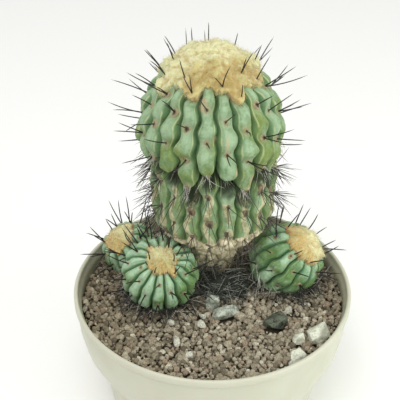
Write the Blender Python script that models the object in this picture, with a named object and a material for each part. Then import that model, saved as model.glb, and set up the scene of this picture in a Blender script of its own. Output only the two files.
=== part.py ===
# A copiapoa cactus in a bowl pot: one tall ribbed stem with woolly crown, three young heads that
# sprout round its foot, coarse grit with a few larger stones, and a cream plastic pot.
#
# The frame stands on the table: +Z is up, the origin is the middle of the pot's underside,
# and -Y is the side that faces the viewer. Sizes are in metres, written as millimetres times MM.

import math
import random

import bmesh
import bpy
from mathutils import Matrix, Vector, noise

MM = 0.001
GAP = 0.35 * MM  # between pieces that touch

# Pot
POT_HEIGHT = 78 * MM
POT_RIM_RADIUS = 75 * MM
POT_FOOT_RADIUS = 57 * MM
POT_WALL = 2.3 * MM
POT_FLOOR = 4 * MM
POT_SIDES = 40
RECESS_DEPTH = 1.2 * MM  # of a ring under the floor, so that water can run off
RECESS_INNER, RECESS_OUTER = 22 * MM, 48 * MM
DRAIN_HOLES, DRAIN_RADIUS, DRAIN_RING = 6, 4 * MM, 34 * MM

# Grit
SOIL_LEVEL = 69 * MM
GRAIN_SPACING = 8.6 * MM
GRAIN_RISE = 1.6 * MM
HOLE_SIDES = 16
HOLE_RISE = 14 * MM  # how far a hole's cutter goes on above the widest part

# Main stem, which stands behind the pot's middle
STEM_PLACE = Vector((0.5, 26, 0)) * MM
STEM_RIBS = 21
STEM_GROOVE = 5 * MM
STEM_PITCH = 16.6 * MM  # along a rib, from areole to areole
STEM_SHIFT = 8 / 21  # of a pitch, down from each rib's areoles to the next rib's
STEM_FIRST = 0.955  # of a pitch, from the foot to the first rib's lowest areole
TUBERCLE_RISE = 1.3 * MM
WAIST = 98 * MM  # length along the profile where an old growth ring pinches the stem
WAIST_DEPTH = 5.2 * MM
STEM_PROFILE = [  # (radius, height) in mm along a rib's crest, from the foot to the tip
    (12, 58),
    (11.5, 70),
    (12.0, 80),
    (16.5, 89),
    (23.0, 98),
    (30.0, 105),
    (32.8, 113),
    (33.2, 126),
    (33.6, 138),
    (34.6, 147),
    (36.4, 154),
    (37.3, 160),
    (36.6, 167),
    (33.4, 177),
    (27.6, 186.5),
    (19.6, 194),
    (10, 199),
    (0, 200.6),
]
STEM_SMOOTH_BELOW = 96 * MM  # the foot is corky, with no ribs
WOOL_EDGE_RADIUS = 23.4 * MM
WOOL_LIFT = 0.75 * MM  # over the skin, so that flat facets stay clear of it
WOOL_LUMP = 7.7 * MM  # size of the wool's lumps
WOOL_UNEVEN = 0.6  # of its thickness
STEM_WOOL = (1.6 * MM, 8.4 * MM)  # thickness at the edge and at the tip
STEM_RINGS = 4  # of the skin to a pitch, and of the wool

# Young heads: the profile is in radii, from the neck in the grit to the tip
HEAD_PROFILE = [
    (0.38, -1.22),
    (0.42, -0.98),
    (0.70, -0.72),
    (0.93, -0.36),
    (1.00, 0.04),
    (0.93, 0.40),
    (0.71, 0.67),
    (0.42, 0.79),
    (0.18, 0.82),
    (0, 0.82),
]
HEADS = {  # middle and radius in mm, direction of growth, ribs, and the wool's radius in mm
    "head_front": dict(middle=(-28.2, 0.6, 84), radius=20.4, grows=(0.08, -0.47, 0.88), ribs=16, wool=8.6),
    "head_right": dict(middle=(41, 16, 82.5), radius=20.2, grows=(0.59, -0.24, 0.775), ribs=14, wool=11.5),
    "head_back": dict(middle=(-46.5, 32, 77), radius=15.4, grows=(-0.43, -0.30, 0.85), ribs=13, wool=8.6),
}
HEAD_GROOVE = 0.17  # of the radius
HEAD_PITCH = 0.66  # of the radius
HEAD_SHIFT = 3 / 8
HEAD_RISE = 0.04  # of the radius
HEAD_SMOOTH = 0.5  # of the radius, from the foot to where the ribs begin
HEAD_WOOL = (1.2 * MM, 3.2 * MM)
HEAD_RINGS = 3

# Spines
SPINE_RADIUS = 0.6 * MM  # at the root
SPINE_ROOT = 1.6 * MM  # how deep a spine is sunk
SPINE_STRAY = 0.32  # how far a spine may turn from its rule
SPINE_TRIES = 5
STEM_SPINES = dict(  # lift is how far they point up, and each is their number, at the foot and at the wool
    lift=(-0.6, 0.3), each=(1.6, 0.7), length=(13 * MM, 21 * MM), in_wool=(8 * MM, 11 * MM),
)
HEAD_SPINES = dict(lift=(0.1, 0.5), each=(0.7, 0.6), length=(9 * MM, 15 * MM), in_wool=(8 * MM, 12 * MM))
CLEAR_OF_SPINES = 1.7 * MM  # between spines of different pieces
CLEAR_OF_BODIES = 1.2 * MM
CLEAR_OF_POT = 2 * MM
CLEAR_OF_WOOL = 6 * MM  # over the tip of a body

# Larger stones on the grit: place in mm on the grit, half sizes in mm, turn in degrees
STONES = {
    "stone_block": dict(place=(-0.5, -8), half=(4.6, 4.2, 4.8), turn=30, seed=3),
    "stone_slab": dict(place=(7.4, -17), half=(8.0, 4.2, 3.8), turn=22, seed=5),
    "stone_dark": dict(place=(33, -25.5), half=(6.6, 5.2, 4.8), turn=28, seed=8),
    "stone_pale": dict(place=(55.2, -33.2), half=(8.2, 5.0, 4.2), turn=42, seed=9),
    "stone_small": dict(place=(44.2, -37), half=(3.4, 3.2, 3.2), turn=0, seed=12),
    "stone_flat": dict(place=(42.2, -50), half=(5.0, 3.4, 3.4), turn=35, seed=14),
}
STONE_SINK = 0.42  # share of a stone's half height that is below the grit
STONE_POINTS = 17

# Tangle of shed spines in front of the stem's foot
TANGLE_PLACE = Vector((6.5, 5.5, 69.5)) * MM
TANGLE_HALF = Vector((15.5, 10, 8.5)) * MM
TANGLE_SPINES = 26
TANGLE_SPINE = (6 * MM, 10 * MM)


def clear_scene():
    for old in list(bpy.data.objects):
        bpy.data.objects.remove(old, do_unlink=True)


def make_material(name, colour, roughness):
    material = bpy.data.materials.new(name)
    material.use_nodes = True
    shader = material.node_tree.nodes["Principled BSDF"]
    shader.inputs["Base Color"].default_value = (*colour, 1)
    shader.inputs["Roughness"].default_value = roughness
    shader.inputs["Metallic"].default_value = 0
    return material


def link(obj, collection=None):
    (collection or bpy.context.scene.collection).objects.link(obj)
    return obj


def object_from(name, bm, material=None, collection=None):
    """A new object holding the bmesh, with its faces pointing out."""
    bmesh.ops.recalc_face_normals(bm, faces=bm.faces)
    mesh = bpy.data.meshes.new(name)
    bm.to_mesh(mesh)
    bm.free()
    mesh.shade_smooth()
    mesh.set_sharp_from_angle(angle=math.radians(38))
    if material:
        mesh.materials.append(material)
    return link(bpy.data.objects.new(name, mesh), collection)


def lathe(name, outline, sides, material=None):
    """A solid turned round Z from an outline of (radius, height) that starts and ends on the axis."""
    bm = bmesh.new()
    points = [bm.verts.new((radius, 0, height)) for radius, height in outline]
    edges = [bm.edges.new(pair) for pair in zip(points, points[1:])]
    bmesh.ops.spin(
        bm, geom=points + edges, cent=(0, 0, 0), axis=(0, 0, 1), dvec=(0, 0, 0),
        angle=math.tau, steps=sides, use_merge=True,
    )
    bmesh.ops.remove_doubles(bm, verts=bm.verts, dist=0.01 * MM)
    return object_from(name, bm, material)


def boolean(obj, operation, other=None, collection=None, solver="EXACT"):
    modifier = obj.modifiers.new(operation.title(), "BOOLEAN")
    modifier.operation = operation
    modifier.solver = solver
    if collection:
        modifier.operand_type = "COLLECTION"
        modifier.collection = collection
    else:
        modifier.object = other
    return modifier


def as_cutter(obj):
    obj.hide_render = True
    obj.display_type = "WIRE"
    return obj


def apply_modifiers(obj):
    bpy.context.view_layer.update()
    graph = bpy.context.evaluated_depsgraph_get()
    made = bpy.data.meshes.new_from_object(obj.evaluated_get(graph))
    obj.modifiers.clear()
    obj.data = made


def between(a, b, c, d, t):
    """The value at a share t of the way from b to c, on the smooth curve through a, b, c and d."""
    bend = (2 * a - 5 * b + 4 * c - d) * t**2 + (3 * b - a - 3 * c + d) * t**3
    return b + 0.5 * ((c - a) * t + bend)


class Curve:
    """A smooth curve through (radius, height) points, measured by its length from the first."""

    STEPS = 16  # between two points

    def __init__(self, points):
        ends = [points[0], *points, (-points[-2][0], points[-2][1])]
        self.points = []
        for a, b, c, d in zip(ends, ends[1:], ends[2:], ends[3:]):
            for step in range(self.STEPS):
                self.points.append(tuple(between(*four, step / self.STEPS) for four in zip(a, b, c, d)))
        self.points.append(points[-1])
        self.lengths = [0.0]
        for a, b in zip(self.points, self.points[1:]):
            self.lengths.append(self.lengths[-1] + math.dist(a, b))
        self.length = self.lengths[-1]

    def at(self, length):
        """((radius, height), (outward normal)) at this length."""
        length = min(max(length, 0), self.length)
        i = 1
        while self.lengths[i] < length and i < len(self.lengths) - 1:
            i += 1
        a, b = self.points[i - 1], self.points[i]
        span = self.lengths[i] - self.lengths[i - 1]
        t = (length - self.lengths[i - 1]) / span
        along = ((b[0] - a[0]) / span, (b[1] - a[1]) / span)
        return (a[0] + (b[0] - a[0]) * t, a[1] + (b[1] - a[1]) * t), (along[1], -along[0])

    def radius_at_height(self, height):
        """The widest radius at this height, or 0 past the ends."""
        found = [0.0]
        for a, b in zip(self.points, self.points[1:]):
            low, high = sorted((a[1], b[1]))
            if low <= height <= high and high > low:
                found.append(a[0] + (b[0] - a[0]) * (height - a[1]) / (b[1] - a[1]))
        return max(found)

    def length_where_radius(self, radius):
        """The length, counted from the foot, where the curve last narrows to this radius."""
        for i in range(len(self.points) - 1, 0, -1):
            if self.points[i - 1][0] >= radius:
                return self.lengths[i]
        return 0.0


def smooth_step(low, high, value):
    t = min(max((value - low) / (high - low), 0), 1)
    return t * t * (3 - 2 * t)


class RibbedBody:
    """A cactus body round its own Z axis. Ribs run from foot to tip, and each swells between its areoles."""

    SHOULDER = 0.27  # of a rib's width, from its middle to each edge of its crest
    SWELL_BELOW = 0.42  # of a pitch, from an areole down to the fullest part
    ACROSS = (0, 0.5 - SHOULDER, 0.5 + SHOULDER)  # a groove and the two edges of a crest

    def __init__(
        self, profile, ribs, groove, pitch, shift, rise, start, wool_radius, rings, first=0.6, waist=None
    ):
        self.curve = Curve(profile)
        self.ribs, self.groove, self.pitch, self.shift = ribs, groove, pitch, shift
        self.rise, self.first, self.waist = rise, first, waist
        self.ribs_start = start  # length where the ribs begin to show
        self.rings = rings  # to a pitch
        self.widest, self.widest_length = max(
            (point[0], length) for point, length in zip(self.curve.points, self.curve.lengths)
        )
        self.wool_edge = self.curve.length_where_radius(wool_radius)

    def rows(self):
        """Lengths of the rings, which are sparse on the smooth foot."""
        foot = max(round(self.ribs_start / self.pitch * 1.5), 1)
        ribbed = self.curve.length - self.ribs_start
        rest = round(ribbed / self.pitch * self.rings)
        low = [self.ribs_start * i / foot for i in range(foot)]
        return low + [self.ribs_start + ribbed * i / rest for i in range(rest)]

    def rib_share(self, length):
        """How far the grooves are cut at this length: 0 at the foot and under the wool, 1 between."""
        low = smooth_step(self.ribs_start, self.ribs_start + 0.8 * self.pitch, length)
        high = 1 - smooth_step(self.wool_edge, self.wool_edge + 0.5 * self.pitch, length)
        return low * high

    def areole_near(self, length, rib):
        """The length of the rib's areole that is nearest to this length."""
        offset = self.first - self.shift * rib
        return (round(length / self.pitch - offset) + offset) * self.pitch

    def pinch(self, length, rib):
        """Depth of the waist, which each rib has just below one of its areoles."""
        if self.waist is None:
            return 0.0
        place, depth = self.waist
        below = (self.areole_near(place, rib) - length) / MM
        return depth * (smooth_step(-2, 1, below) - smooth_step(3, 9, below))

    def surface(self, length, rib, across):
        """The point at this length on a rib. across is 0 in the groove and 0.5 on the rib's middle."""
        (radius, height), (out, up) = self.curve.at(length)
        share = self.rib_share(length)
        inner = max(1 - min(across, 1 - across) / (0.5 - self.SHOULDER), 0)
        cut = self.groove * share * min(radius / self.widest, 1) * inner
        phase = (length - self.areole_near(length, rib)) / self.pitch + self.SWELL_BELOW
        swell = self.rise * share * (math.cos(math.tau * phase) - 1) * (1 - inner)
        push = swell - cut - self.pinch(length, rib)
        radius += out * push
        angle = math.tau * (rib + across) / self.ribs
        return Vector((radius * math.cos(angle), radius * math.sin(angle), height + up * push))

    def normal(self, length, rib):
        _, (out, up) = self.curve.at(length)
        angle = math.tau * (rib + 0.5) / self.ribs
        return Vector((out * math.cos(angle), out * math.sin(angle), up))

    def areoles(self, low, high):
        """(length, rib) of each spine cushion between two lengths."""
        for rib in range(self.ribs):
            length = self.areole_near(low, rib)
            while length < high:
                if length > low:
                    yield length, rib
                length += self.pitch

    def solid(self):
        bm = bmesh.new()
        rings = [
            [bm.verts.new(self.surface(length, rib, a)) for rib in range(self.ribs) for a in self.ACROSS]
            for length in self.rows()
        ]
        tip = bm.verts.new((0, 0, self.curve.points[-1][1]))
        bridge(bm, rings)
        for a, b in zip(rings[-1], rings[-1][1:] + rings[-1][:1]):
            bm.faces.new((a, b, tip))
        bm.faces.new(list(reversed(rings[0])))
        return bm


def bridge(bm, rings):
    """Quads between rings of as many points each."""
    for lower, upper in zip(rings, rings[1:]):
        for i in range(len(lower)):
            j = (i + 1) % len(lower)
            bm.faces.new((lower[i], lower[j], upper[j], upper[i]))


def needle(root, direction, length, collection):
    """One three-sided spine. Its root is sunk by SPINE_ROOT."""
    side = direction.orthogonal().normalized()
    other = direction.cross(side)
    bm = bmesh.new()
    foot = root - direction * SPINE_ROOT
    ring = [
        bm.verts.new(foot + SPINE_RADIUS * (side * math.cos(a) + other * math.sin(a)))
        for a in (0, math.tau / 3, 2 * math.tau / 3)
    ]
    tip = bm.verts.new(root + direction * length)
    for a, b in zip(ring, ring[1:] + ring[:1]):
        bm.faces.new((a, b, tip))
    bm.faces.new(ring)
    return object_from("spine", bm, collection=collection)


class Garden:
    """What stands in the pot, for keeping one piece's spines clear of the others."""

    SAMPLES = 10  # points along a spine
    CORE = 4 * MM  # kept clear round a body's axis, over its tip too

    def __init__(self):
        self.bodies = {}  # name: (body, world matrix)
        self.spines = []  # (name, points)

    def near_body(self, point, name):
        for other, (body, matrix) in self.bodies.items():
            if other == name:
                continue
            local = matrix.inverted() @ point
            radius = body.curve.radius_at_height(local.z)
            below_tip = local.z < body.curve.points[-1][1] + CLEAR_OF_WOOL
            if below_tip and math.hypot(local.x, local.y) < max(radius, self.CORE) + CLEAR_OF_BODIES:
                return True
        return False

    def near_pot_or_grit(self, point):
        """Whether the point is too low: over the grit, over the rim or over a stone."""
        floor = SOIL_LEVEL + GRAIN_RISE
        if math.hypot(point.x, point.y) > POT_RIM_RADIUS - POT_WALL - CLEAR_OF_POT:
            floor = POT_HEIGHT
        for facts in STONES.values():
            away = math.dist((point.x, point.y), [c * MM for c in facts["place"]])
            if away < max(facts["half"]) * MM + CLEAR_OF_BODIES:
                floor = max(floor, SOIL_LEVEL + 2 * facts["half"][2] * MM)
        return point.z < floor + CLEAR_OF_POT

    def is_clear(self, name, points):
        if any(self.near_body(p, name) or self.near_pot_or_grit(p) for p in points):
            return False
        return all(
            other == name or all((p - q).length > CLEAR_OF_SPINES for p in points for q in line)
            for other, line in self.spines
        )

    def try_spine(self, name, matrix, root, direction, length):
        """True, and the spine is noted, if it is clear of every other piece."""
        points = [matrix @ (root + direction * length * i / self.SAMPLES) for i in range(1, self.SAMPLES + 1)]
        if not self.is_clear(name, points):
            return False
        self.spines.append((name, points))
        return True


def grow_spines(name, obj, places, lengths, garden, draw):
    """Fuses a spine to the object at each (root, direction), turned a little until it is clear."""
    group = bpy.data.collections.new(name + "_spines")
    bpy.context.scene.collection.children.link(group)
    matrix = obj.matrix_world.copy()
    for root, direction in places:
        for _ in range(SPINE_TRIES):
            stray = Vector([draw.uniform(-SPINE_STRAY, SPINE_STRAY) for _ in range(3)])
            turned = (direction + stray).normalized()
            length = draw.uniform(*lengths)
            if garden.try_spine(name, matrix, root, turned, length):
                needle(root, turned, length, group)
                break
    for spine in group.objects:
        spine.matrix_world = matrix
    boolean(obj, "UNION", collection=group, solver="MANIFOLD")
    apply_modifiers(obj)
    for spine in list(group.objects):
        bpy.data.objects.remove(spine, do_unlink=True)
    bpy.data.collections.remove(group)


def wool_edge_at(body, share):
    """Length of the wool's edge at a share of the turn. It runs down over the topmost areoles."""
    place = share * body.ribs
    rib = int(place) % body.ribs
    areole = body.areole_near(body.wool_edge - 0.2 * body.pitch, rib)
    reach = body.wool_edge - areole + 0.08 * body.pitch
    if not 0 < reach < 0.34 * body.pitch:
        return body.wool_edge
    middle = 1 - abs(place % 1 - 0.5) * 2
    return body.wool_edge - reach * smooth_step(0.05, 0.4, middle)


def wool_cap(name, body, thickness, acrosses, material, seed):
    """A lumpy felted cap over the body's tip, with tufts down the ribs, a GAP clear of the body."""
    end, rows = body.curve.length, body.rings
    angles = [math.tau * (rib + across) / body.ribs for rib in range(body.ribs) for across in acrosses]

    def point(share, angle, outside):
        edge = wool_edge_at(body, angle / math.tau)
        length = edge + (end - edge) * share
        (radius, z), (out, up) = body.curve.at(length)
        height = WOOL_LIFT
        if outside:
            place = Vector((radius * math.cos(angle), radius * math.sin(angle), z))
            lump = 1 + WOOL_UNEVEN * noise.noise(place / WOOL_LUMP + Vector((seed, seed, seed)))
            full = thickness[0] + (thickness[1] - thickness[0]) * smooth_step(-0.1, 0.75, share)
            height += full * lump
        radius = max(radius + out * height, 0)
        return Vector((radius * math.cos(angle), radius * math.sin(angle), z + up * height))

    bm = bmesh.new()
    sides = [
        [[bm.verts.new(point(j / rows, angle, outside)) for angle in angles] for j in range(rows)]
        for outside in (False, True)
    ]
    bridge(bm, [*reversed(sides[0]), *sides[1]])
    for rings, outside in zip(sides, (False, True)):
        tip = bm.verts.new(point(1, 0, outside))
        for a, b in zip(rings[-1], rings[-1][1:] + rings[-1][:1]):
            bm.faces.new((a, b, tip))
    return object_from(name, bm, material)


def wool_spines(cap, body, thickness, lengths, garden, seed):
    """Spines that stand out of the wool, fused to it. They carry on the spiral of the areoles."""
    draw = random.Random(seed)
    places = []
    for length, rib in body.areoles(body.wool_edge - body.pitch, body.wool_edge + 0.5 * body.pitch):
        if length < wool_edge_at(body, (rib + 0.5) / body.ribs):
            continue
        (radius, z), _ = body.curve.at(length)
        angle = math.tau * (rib + 0.5) / body.ribs
        direction = body.normal(length, rib)
        out = WOOL_LIFT + thickness[0] + 0.4 * SPINE_ROOT
        root = Vector((radius * math.cos(angle), radius * math.sin(angle), z)) + direction * out
        places.append((root, (direction + Vector((0, 0, 0.5))).normalized()))
    grow_spines(cap.name, cap, places, lengths, garden, draw)


def pot_outlines():
    """(outer, inner) walls as (radius, height), each from the rim down."""
    rim, height, foot = POT_RIM_RADIUS, POT_HEIGHT, POT_FOOT_RADIUS
    outer = [
        (rim, height - 0.6 * MM),
        (rim, height - 3.6 * MM),
        (rim - 0.9 * MM, height - 4.6 * MM),
        (rim - 2 * MM, 60 * MM),
        (rim - 4 * MM, 50 * MM),
        (rim - 7.6 * MM, 42 * MM),
        (rim - 12.4 * MM, 33 * MM),
        (rim - 13.6 * MM, 28 * MM),
        (foot, 1.2 * MM),
    ]
    inner = [(radius - POT_WALL, z) for radius, z in outer[3:8]]
    inner[-1] = (foot - POT_WALL, POT_FLOOR)
    return outer, [(rim - POT_WALL, height - 0.8 * MM), *inner]


def make_pot(material):
    outer, inner = pot_outlines()
    outline = [
        (0, 0),
        (RECESS_INNER, 0),
        (RECESS_INNER + 1 * MM, RECESS_DEPTH),
        (RECESS_OUTER, RECESS_DEPTH),
        (RECESS_OUTER + 1 * MM, 0),
        (POT_FOOT_RADIUS - 1.2 * MM, 0),
        *reversed(outer),
        (POT_RIM_RADIUS - 0.8 * MM, POT_HEIGHT),
        (POT_RIM_RADIUS - POT_WALL + 0.6 * MM, POT_HEIGHT),
        *inner,
        (0, POT_FLOOR),
    ]
    pot = lathe("pot", outline, POT_SIDES, material)
    for i in range(DRAIN_HOLES):
        angle = math.tau * (i + 0.5) / DRAIN_HOLES
        bm = bmesh.new()
        bmesh.ops.create_cone(
            bm, cap_ends=True, segments=8, radius1=DRAIN_RADIUS, radius2=DRAIN_RADIUS, depth=4 * POT_FLOOR
        )
        drill = as_cutter(object_from(f"drill_{i}", bm))
        drill.location = (DRAIN_RING * math.cos(angle), DRAIN_RING * math.sin(angle), 0)
        boolean(pot, "DIFFERENCE", drill)
    return pot


def grain_field():
    """A slab whose top is packed with six-sided grains of grit, wider than the pot."""
    draw = random.Random(21)
    columns = math.ceil(2 * POT_RIM_RADIUS / GRAIN_SPACING) + 2
    line = GRAIN_SPACING * math.sqrt(3) / 2
    rows = math.ceil(2 * POT_RIM_RADIUS / line) + 2
    bm = bmesh.new()
    corners = {}

    def corner(x, y):
        """The low point shared by three grains."""
        key = (round(x / MM, 2), round(y / MM, 2))
        if key not in corners:
            shift = [draw.uniform(-0.14, 0.14) * GRAIN_SPACING for _ in range(2)]
            low = SOIL_LEVEL - draw.uniform(0.1, 0.5) * GRAIN_RISE
            corners[key] = bm.verts.new((x + shift[0], y + shift[1], low))
        return corners[key]

    for row in range(rows):
        for column in range(columns):
            x = (column - columns / 2 + 0.5 * (row % 2)) * GRAIN_SPACING
            y = (row - rows / 2) * line
            ring = [
                corner(x + GRAIN_SPACING / math.sqrt(3) * math.sin(math.tau * k / 6),
                       y + GRAIN_SPACING / math.sqrt(3) * math.cos(math.tau * k / 6))
                for k in range(6)
            ]
            shift = [draw.uniform(-0.2, 0.2) * GRAIN_SPACING for _ in range(2)]
            peak = bm.verts.new((x + shift[0], y + shift[1], SOIL_LEVEL + draw.uniform(0.45, 1) * GRAIN_RISE))
            for a, b in zip(ring, ring[1:] + ring[:1]):
                bm.faces.new((a, b, peak))
    border = [edge for edge in bm.edges if edge.is_boundary]
    made = bmesh.ops.extrude_edge_only(bm, edges=border)["geom"]
    skirt = [item for item in made if isinstance(item, bmesh.types.BMVert)]
    for vert in skirt:
        vert.co.z = 0
    bmesh.ops.holes_fill(bm, edges=[edge for edge in bm.edges if edge.is_boundary], sides=0)
    bmesh.ops.triangulate(bm, faces=[face for face in bm.faces if len(face.verts) > 4])
    return bm


def make_soil(material, holes):
    """Grit that fills the pot, with a plain hole where each stem and stone stands."""
    _, inner = pot_outlines()
    walls = [(radius - GAP, z) for radius, z in inner]
    walls[0] = (walls[0][0], POT_HEIGHT)
    walls[-1] = (walls[-1][0], POT_FLOOR + GAP)
    outline = [(0, POT_FLOOR + GAP), *reversed(walls), (0, POT_HEIGHT)]
    soil = object_from("soil", grain_field(), material)
    inside = as_cutter(lathe("pot_inside", outline, POT_SIDES))
    boolean(soil, "INTERSECT", inside)
    for hole in holes:
        boolean(soil, "DIFFERENCE", hole)
    return soil


def hole_cutter(name, body, top, sides, matrix):
    """The body's plain outline, a GAP wider, from its foot up to a length, and straight on from there."""
    outline = [(0, body.curve.points[0][1] - GAP)]
    for length in [row for row in body.rows() if row < top][::2] + [top]:
        (radius, z), _ = body.curve.at(length)
        outline.append((radius + 3 * GAP, z if length else z - GAP))
    outline.append((outline[-1][0], outline[-1][1] + HOLE_RISE))
    outline.append((0, outline[-1][1]))
    cutter = as_cutter(lathe(name, outline, sides))
    cutter.matrix_world = matrix
    return cutter


def stone_mesh(half, seed, grow=0.0):
    """A broken stone: the hull of points scattered on a box-like egg."""
    draw = random.Random(seed)
    bm = bmesh.new()
    for _ in range(STONE_POINTS):
        way = Vector([draw.gauss(0, 1) for _ in range(3)]).normalized()
        boxy = Vector([math.copysign(abs(c) ** 0.6, c) for c in way])
        bm.verts.new([c * (h * MM + grow) for c, h in zip(boxy, half)])
    made = bmesh.ops.convex_hull(bm, input=bm.verts)
    loose = {item for key in ("geom_interior", "geom_unused") for item in made[key]}
    bmesh.ops.delete(bm, geom=[v for v in loose if isinstance(v, bmesh.types.BMVert)], context="VERTS")
    return bm


def stone_matrix(place, half, turn):
    height = SOIL_LEVEL + half[2] * MM * (1 - STONE_SINK)
    place = Matrix.Translation((place[0] * MM, place[1] * MM, height))
    return place @ Matrix.Rotation(math.radians(turn), 4, "Z")


def make_stones(pale, dark):
    """Makes the stones, and gives the pockets in the grit that they lie in."""
    pockets = []
    for name, facts in STONES.items():
        material = dark if name == "stone_dark" else pale
        matrix = stone_matrix(facts["place"], facts["half"], facts["turn"])
        stone = object_from(name, stone_mesh(facts["half"], facts["seed"]), material)
        stone.matrix_world = matrix
        pocket = as_cutter(object_from("pocket_" + name, stone_mesh(facts["half"], facts["seed"], 1.3 * GAP)))
        pocket.matrix_world = matrix
        pockets.append(pocket)
    return pockets


def head_matrix(middle, grows):
    turn = Vector(grows).to_track_quat("Z", "Y").to_matrix().to_4x4()
    return Matrix.Translation(Vector(middle) * MM) @ turn


def stem_body():
    profile = [(radius * MM, height * MM) for radius, height in STEM_PROFILE]
    curve = Curve(profile)
    start = next(length for (_, z), length in zip(curve.points, curve.lengths) if z > STEM_SMOOTH_BELOW)
    return RibbedBody(
        profile, STEM_RIBS, STEM_GROOVE, STEM_PITCH, STEM_SHIFT, TUBERCLE_RISE, start,
        WOOL_EDGE_RADIUS, STEM_RINGS, STEM_FIRST, (WAIST, WAIST_DEPTH),
    )


def head_body(facts):
    radius = facts["radius"] * MM
    profile = [(r * radius, z * radius) for r, z in HEAD_PROFILE]
    return RibbedBody(
        profile, facts["ribs"], HEAD_GROOVE * radius, HEAD_PITCH * radius, HEAD_SHIFT, HEAD_RISE * radius,
        HEAD_SMOOTH * radius, facts["wool"] * MM, HEAD_RINGS,
    )


def make_body(name, body, matrix, material):
    obj = object_from(name, body.solid(), material)
    obj.matrix_world = matrix
    bpy.context.view_layer.update()
    return obj


def spine_places(body, low, lift, each, draw):
    """(root, direction) of the spines of each areole between a length and the wool."""
    for length, rib in body.areoles(low, body.wool_edge):
        if length > wool_edge_at(body, (rib + 0.5) / body.ribs) - 0.3 * body.pitch:
            continue
        root = body.surface(length, rib, 0.5)
        share = length / body.wool_edge
        up = Vector((0, 0, lift[0] * (1 - share) + lift[1] * share))
        direction = (body.normal(length, rib) + up).normalized()
        spread = direction.cross(Vector((0, 0, 1))).normalized()
        count = math.floor(each[0] * (1 - share) + each[1] * share + draw.random())
        for i in range(count):
            side = spread * (i - (count - 1) / 2) * 0.55
            down = Vector((0, 0, -0.35 * (i % 2)))
            yield root, (direction + side + down).normalized()


def grow_body(name, garden, seed, skin, wool):
    """Makes a body with its spines and its wool, and gives the cutter of its hole in the grit."""
    body, matrix = garden.bodies[name]
    draw = random.Random(5 + seed)
    if name == "stem":
        spines, thickness, acrosses = STEM_SPINES, STEM_WOOL, body.ACROSS
        lowest = body.ribs_start + 0.5 * body.pitch
        top = SOIL_LEVEL - STEM_PROFILE[0][1] * MM
    else:
        spines, thickness, acrosses = HEAD_SPINES, HEAD_WOOL, (0, 0.5)
        lowest = body.widest_length - 0.1 * body.pitch
        top = body.widest_length
    obj = make_body(name, body, matrix, skin)
    places = list(spine_places(body, lowest, spines["lift"], spines["each"], draw))
    grow_spines(name, obj, places, spines["length"], garden, draw)
    cap = wool_cap(name + "_wool", body, thickness, acrosses, wool, seed)
    cap.matrix_world = matrix
    bpy.context.view_layer.update()
    wool_spines(cap, body, thickness, spines["in_wool"], garden, 40 + seed)
    return hole_cutter("hole_" + name, body, top, HOLE_SIDES, matrix)


def tangle_core(grow=0.0):
    bm = bmesh.new()
    bmesh.ops.create_icosphere(bm, subdivisions=2, radius=1)
    for vert in bm.verts:
        rough = 1 + 0.2 * noise.noise(vert.co * 3.1)
        vert.co = Vector([c * (h * rough + grow) for c, h in zip(vert.co, TANGLE_HALF)])
    return bm


def make_tangle(material, garden, cutters):
    """A low tangle of shed spines on the grit: a smaller core that the spines stand out of."""
    tangle = object_from("shed_spines", tangle_core(), material)
    tangle.location = TANGLE_PLACE
    for cutter in cutters:
        boolean(tangle, "DIFFERENCE", cutter)
    apply_modifiers(tangle)
    draw = random.Random(31)
    places = []
    for _ in range(TANGLE_SPINES):
        way = Vector((draw.uniform(-0.9, 0.9), draw.uniform(-0.9, 0.5), draw.uniform(0.35, 1))).normalized()
        root = Vector([c * h * 0.8 for c, h in zip(way, TANGLE_HALF)])
        lean = Vector((draw.uniform(-0.8, 0.8), draw.uniform(-0.8, 0.8), 0.1))
        places.append((root, (way + lean).normalized()))
    grow_spines("shed_spines", tangle, places, TANGLE_SPINE, garden, draw)
    pocket = as_cutter(object_from("pocket_shed_spines", tangle_core(1.5 * GAP)))
    pocket.location = TANGLE_PLACE
    return pocket


def main():
    clear_scene()
    cream = make_material("cream_plastic", (0.83, 0.84, 0.72), 0.42)
    grit = make_material("grit", (0.36, 0.29, 0.24), 0.95)
    skin = make_material("cactus_skin", (0.30, 0.47, 0.30), 0.62)
    wool = make_material("wool", (0.80, 0.66, 0.36), 0.95)
    pale = make_material("pale_stone", (0.62, 0.61, 0.54), 0.85)
    dark = make_material("dark_stone", (0.10, 0.11, 0.10), 0.8)
    dry = make_material("dry_spines", (0.10, 0.09, 0.08), 0.8)

    garden = Garden()
    garden.bodies["stem"] = (stem_body(), Matrix.Translation(STEM_PLACE))
    for name, facts in HEADS.items():
        garden.bodies[name] = (head_body(facts), head_matrix(facts["middle"], facts["grows"]))

    holes = [
        grow_body(name, garden, number, skin, wool) for number, name in enumerate(garden.bodies)
    ]
    pockets = make_stones(pale, dark)
    pockets.append(make_tangle(dry, garden, holes + pockets))
    make_soil(grit, holes + pockets)
    make_pot(cream)


main()
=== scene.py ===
import math

import bmesh
import bpy
import numpy as np
from mathutils import Matrix, Vector, noise


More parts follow.
